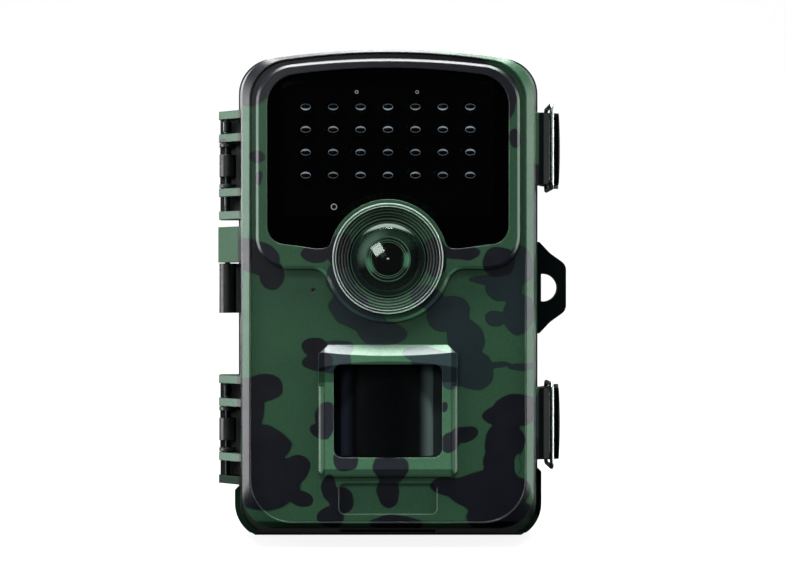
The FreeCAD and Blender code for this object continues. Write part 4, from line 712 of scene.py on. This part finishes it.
def bead(radius, y, thick):
    """The round profile of a ring for lathe, all in millimetres."""
    return [(radius + thick * math.cos(a), y + thick * math.sin(a)) for a in turn(8)]


# ---- Pieces seen through the window and the lens -------------------------------------------------
# The grid of diodes: pitch across and down, and the height of the top row (mm).
LED_PITCH = (7.62, 6.35)
LED_TOP_Z = 121.9
LED_COLUMNS, LED_ROWS = 7, 4
CUP_HALF_SIZE = (1.35 * MM, 0.75 * MM)
BEHIND_WINDOW = 0.2 * MM


def led_cups(material):
    """A fine oval reflector rim before each diode, thicker along the arc that stands for its glint."""
    bm = bmesh.new()
    half_w, half_h = CUP_HALF_SIZE
    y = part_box("ir_window")[1].y + BEHIND_WINDOW
    for row in range(LED_ROWS):
        lit = -1.0 if row == 0 else 1.0
        for column in range(LED_COLUMNS):
            x = (column - (LED_COLUMNS - 1) / 2) * LED_PITCH[0] * MM
            z = (LED_TOP_Z - row * LED_PITCH[1]) * MM
            points, radii = [], []
            for a in turn(28):
                points.append(Vector((x + half_w * math.cos(a), y, z + half_h * math.sin(a))))
                radii.append((0.03 + 0.19 * max(0.0, lit * math.sin(a)) ** 1.5) * MM)
            tube(bm, points, radii, (0, 1, 0), closed=True, sides=6)
    return piece("led_cups", bm, material, "front_case")


# The status lamp and the two light sensors: x and z of the middle, radius and thickness of the rim (mm).
SENSOR_RIMS = ((-15.0, 94.1, 0.75, 0.13), (-8.7, 126.0, 0.40, 0.10), (8.1, 126.0, 0.40, 0.10))


def sensor_rims(material):
    """Small rims before the status lamp and the two light sensors."""
    bm = bmesh.new()
    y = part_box("ir_window")[1].y + BEHIND_WINDOW
    for x, z, radius, thick in SENSOR_RIMS:
        angles = turn(24)
        ring = [Vector((x + radius * math.cos(a), y / MM, z + radius * math.sin(a))) * MM for a in angles]
        tube(bm, ring, [thick * MM] * len(ring), (0, 1, 0), closed=True, sides=6)
    return piece("sensor_rims", bm, material, "front_case")


# Fine rounded beads on the bezel's steps: radius, depth behind its front and thickness (mm).
RIM_BEADS = ((15.02, 0.22, 0.20), (14.32, 0.02, 0.10))
CREST_BEADS = ((13.55, 1.3, 0.09), (12.75, 2.3, 0.12), (11.95, 3.3, 0.09), (11.15, 4.3, 0.12))


def bezel_beads(name, beads, material):
    """One piece of beads round the lens."""
    bm = bmesh.new()
    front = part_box("lens_bezel")[0].y / MM
    for radius, depth, thick in beads:
        lathe(bm, bead(radius, front + depth, thick), 0.0, LENS_Z, 128)
    return piece(name, bm, material, "front_case")


def lens_ring(material):
    """A shallow cone between the dome and the barrel."""
    bm = bmesh.new()
    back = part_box("lens_barrel")[0].y / MM - 0.04
    lathe(bm, [(8.7, back - 0.75), (9.0, back - 0.85), (10.4, back - 0.35), (10.4, back), (8.7, back)],
          0.0, LENS_Z, 128)
    return piece("lens_ring", bm, material, "front_case")


# Radius, depth behind the barrel's front and thickness of each ring (mm).
BAFFLE_RINGS = ((10.35, -0.40, 0.10), (6.2, -0.02, 0.16), (5.3, 0.35, 0.13), (4.75, 1.1, 0.10))


def lens_trim(material):
    """Baffle rings in the lens barrel, as fine bright edges round the pupil, and one round the glass."""
    bm = bmesh.new()
    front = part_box("lens_barrel")[0].y / MM
    for radius, depth, thick in BAFFLE_RINGS:
        lathe(bm, bead(radius, front + depth, thick), 0.0, LENS_Z)
    return piece("lens_trim", bm, material, "front_case")


# ---- Hinge pin springs, cable, key marks and grips -----------------------------------------------
def pin_coils(material):
    """A fine wire coil round the pin in the top cell of each hinge."""
    bm = bmesh.new()
    low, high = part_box("hinge_pins")
    centre = (low + high) / 2
    turns, per_turn, radius, length, wire = 7, 16, 0.98 * MM, 4.4 * MM, 0.14 * MM
    for top in (high.z - 3.2 * MM, low.z + 27.3 * MM):
        points = []
        for i in range(turns * per_turn + 1):
            a = 2 * math.pi * i / per_turn
            drop = length * i / (turns * per_turn)
            x, y = centre.x + radius * math.cos(a), centre.y + radius * math.sin(a)
            points.append(Vector((x, y, top - drop)))
        tube(bm, points, [wire] * len(points), (0, 0, 1), sides=6)
    return piece("pin_coils", bm, material, "rear_case")


def battery_cable(material):
    """The lead from the battery tray to the main board."""
    tray_low, tray_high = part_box("battery_lead_rear")
    board_low, board_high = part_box("battery_lead_front")
    radius, bend, run = 1.05 * MM, 2.5 * MM, 40
    x, z = tray_low.x + 1.1 * MM, (tray_low.z + tray_high.z) / 2
    x_tray, x_board = tray_high.x, board_high.x
    y_tray, y_board = 0.0, board_low.y + 1.1 * MM
    points = [Vector((x_tray, y_tray, z))]
    for i in range(9):
        a = math.pi / 2 * i / 8
        points.append(Vector((x + bend - bend * math.sin(a), y_tray - bend + bend * math.cos(a), z)))
    for i in range(1, run):
        t = i / run
        points.append(Vector((x, y_tray - bend + t * (y_board - y_tray + 2 * bend), z)))
    for i in range(9):
        a = math.pi / 2 * i / 8
        points.append(Vector((x + bend - bend * math.cos(a), y_board + bend - bend * math.sin(a), z)))
    points.append(Vector((x_board, y_board, z)))
    bm = bmesh.new()
    tube(bm, points, [radius] * len(points), (0, 0, 1), sides=12)
    cable = piece("battery_cable", bm, material)
    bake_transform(cable)
    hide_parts("battery_lead_rear", "battery_lead_front")
    return cable


def key_mark(name, key, material):
    """A raised arrow on a direction key, pointing away from the middle key."""
    low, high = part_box(key)
    ok_low, ok_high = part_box("key_ok")
    centre = (low + high) / 2
    away = centre - (ok_low + ok_high) / 2
    away.y = 0.0
    away.normalize()
    side = Vector((-away.z, 0.0, away.x))
    outline = ((1.5, 0.0), (-0.9, 1.3), (-0.5, 0.0), (-0.9, -1.3))
    bm = bmesh.new()
    rings = []
    for lift, grow in ((-0.05, 1.0), (0.12, 1.0), (0.2, 0.82)):
        spots = [centre + grow * MM * (along * away + across * side) for along, across in outline]
        rings.append([bm.verts.new((spot.x, high.y + lift * MM, spot.z)) for spot in spots])
    skin(bm, rings, closed=False)
    mark = piece(name, bm, material, key)
    for face in mark.data.polygons:
        face.use_smooth = False
    return mark


def key_ring(name, key, radius, material):
    """A raised ring on a round key."""
    low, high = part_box(key)
    x, z = (low.x + high.x) / 2 / MM, (low.z + high.z) / 2 / MM
    y = high.y / MM
    foot_y, crest_y = y - 0.05, y + 0.16
    profile = [(radius, foot_y), (radius + 0.35, foot_y), (radius + 0.3, crest_y), (radius + 0.05, crest_y)]
    bm = bmesh.new()
    lathe(bm, profile, x, z, 40)
    return piece(name, bm, material, key)


def lever_grip(side, material):
    """Five finger ridges across the outer face of a latch lever, which is an arc of radius crown."""
    low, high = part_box("latch_lever_" + side)
    middle = (low.z + high.z) / 2
    face_x, crown = 50.15 * MM, 140 * MM
    half, steps = 7.5 * MM, 12
    first_y, pitch, ridge, sunk = 3.4 * MM, 1.7 * MM, 0.42 * MM, 0.12 * MM
    bm = bmesh.new()
    for i in range(5):
        y = first_y - i * pitch
        points, radii = [], []
        for k in range(steps + 1):
            dz = half * (2 * k / steps - 1)
            sag = crown - math.sqrt(crown * crown - dz * dz)
            points.append(Vector((face_x - sag - sunk, y, middle + dz)))
            radii.append(ridge * (1.0 if 0 < k < steps else 0.35))
        tube(bm, points, radii, (1, 0, 0), sides=10)
    return piece("lever_grip_" + side, bm, material, "latch_lever_" + side)


def build_pieces(materials):
    # These rims glow as painted glints of the diodes, the status lamp and the light sensors.
    cup = lit_rim("cup_painted_glint", srgb(200, 212, 214), 1.15)
    led_cups(cup)
    sensor_rims(cup)
    # The baffle rings glow faintly as painted highlights.
    lens_trim(lit_rim("baffle_edge", srgb(150, 190, 165), 0.22))
    # The bezel's beads are painted lighter than the shell, with a pale tone mixed in, as painted highlights.
    bezel_beads("bezel_rim", RIM_BEADS, camo("camo_rim", 1.8, 1.6, 0.42))
    bezel_beads("bezel_crests", CREST_BEADS, camo("camo_crest", 1.5, 1.2, 0.12))
    lens_ring(trim_ring("lens_ring_slate"))
    pin_coils(metal("coil_steel", srgb(84, 90, 90), 0.40))
    battery_cable(materials["lead_pvc"])
    mark = moulded("key_mark", srgb(210, 214, 212), 0.5)
    for name in ("up", "down", "left", "right"):
        key_mark("mark_" + name, "key_" + name, mark)
    key_ring("mark_ok", "key_ok", 1.5, mark)
    key_ring("mark_menu", "key_menu", 0.7, mark)
    key_ring("mark_shot", "key_shot", 1.9, mark)
    for side in ("upper", "lower"):
        lever_grip(side, materials["camo_lever"])


# ---- Stage: floor, light and camera --------------------------------------------------------------
def build_backdrop():
    """A pale floor that curves up into a wall.

    It stays pale however dim the studio is, and is clear from below.
    """
    low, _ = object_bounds()
    half, wall_y, radius, steps = 3.0, 0.9, 0.5, 12
    z = low.z - 0.5 * MM
    curve = [(-half, z)]
    for i in range(steps + 1):
        a = math.pi / 2 * i / steps
        curve.append((wall_y + radius * math.sin(a), z + radius * (1 - math.cos(a))))
    curve.append((wall_y + radius, z + half))
    verts = [(x, y, h) for y, h in curve for x in (-half, half)]
    faces = [(2 * i, 2 * i + 1, 2 * i + 3, 2 * i + 2) for i in range(len(curve) - 1)]
    mesh = bpy.data.meshes.new("floor")
    mesh.from_pydata(verts, [], faces)
    mesh.polygons.foreach_set("use_smooth", [True] * len(faces))
    floor = bpy.data.objects.new("floor", mesh)
    bpy.context.scene.collection.objects.link(floor)
    n = Nodes("studio_floor")
    paper = n.mix(n.noise(0.4, 2.0), (0.86, 0.86, 0.86, 1), (0.92, 0.92, 0.92, 1))
    n.set("Base Color", n.mix(0.85, paper, DARK))
    n.set("Roughness", 0.9)
    n.set("Specular IOR Level", 0.0)
    n.set("Emission Color", paper)
    n.set("Emission Strength", 1.0)
    see_through = n.new("ShaderNodeBsdfTransparent")
    under = n.new("ShaderNodeMixShader")
    n.link(n.new("ShaderNodeNewGeometry").outputs["Backfacing"], under.inputs[0])
    n.link(n.shader.outputs[0], under.inputs[1])
    n.link(see_through.outputs[0], under.inputs[2])
    n.link(under.outputs[0], n.tree.nodes["Material Output"].inputs["Surface"])
    mesh.materials.append(n.material)
    floor.visible_glossy = False
    floor.visible_diffuse = False
    floor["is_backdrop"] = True


def build_world():
    """A dim studio all round, that only the camera sees as pale."""
    world = bpy.data.worlds.new("studio")
    world.use_nodes = True
    tree = world.node_tree
    background = tree.nodes["Background"]
    background.inputs["Color"].default_value = (0.96, 0.96, 0.96, 1.0)
    ray = tree.nodes.new("ShaderNodeLightPath")
    strength = tree.nodes.new("ShaderNodeMapRange")
    strength.inputs["To Min"].default_value = 0.04
    strength.inputs["To Max"].default_value = 0.92
    tree.links.new(ray.outputs["Is Camera Ray"], strength.inputs["Value"])
    tree.links.new(strength.outputs[0], background.inputs["Strength"])
    bpy.context.scene.world = world


def softbox(name, place, size, power, roll=0.0):
    """A rectangular light that faces the middle of the object and is not itself seen by the camera."""
    data = bpy.data.lights.new(name, "AREA")
    data.shape = "RECTANGLE"
    data.size, data.size_y = size
    data.energy = power
    light = bpy.data.objects.new(name, data)
    bpy.context.scene.collection.objects.link(light)
    low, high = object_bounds()
    aim = (low + high) / 2 - Vector(place)
    light.matrix_world = aim.to_track_quat("-Z", "Y").to_matrix().to_4x4()
    light.location = place
    light.rotation_euler.rotate_axis("Z", math.radians(roll))
    light.visible_camera = False


def build_lights():
    softbox("key", (-0.29, -0.95, 0.36), (0.30, 0.30), 1.4, roll=35)
    softbox("brow_top", (0.0, -0.60, 0.90), (0.90, 0.14), 5.0)
    softbox("overhead", (0.0, -0.05, 0.98), (0.90, 0.45), 28.0)
    softbox("overhead_back", (0.0, 0.65, 0.85), (0.90, 0.30), 9.0)
    softbox("left_strip", (-0.88, -0.18, 0.10), (0.55, 0.8), 12.0)
    softbox("right_strip", (0.88, -0.18, 0.10), (0.55, 0.8), 8.5)
    softbox("back_left", (-0.55, 0.75, 0.30), (0.4, 0.5), 5.0)
    softbox("back_right", (0.60, 0.70, 0.20), (0.3, 0.6), 3.0)


def build_camera():
    """The camera faces the lens side straight on, from 0.6 m before the front rim."""
    data = bpy.data.cameras.new("camera")
    data.lens = 99.5
    data.sensor_width = 36.0
    camera = bpy.data.objects.new("camera", data)
    bpy.context.scene.collection.objects.link(camera)
    camera.location = (1.4 * MM, -0.647, 70.0 * MM)
    camera.rotation_euler = (math.pi / 2, 0.0, 0.0)
    bpy.context.scene.camera = camera


materials = build_materials()
dress_nodes(materials)
build_pieces(materials)
build_backdrop()
build_world()
build_lights()
build_camera()
bpy.context.scene.view_settings.view_transform = "Standard"
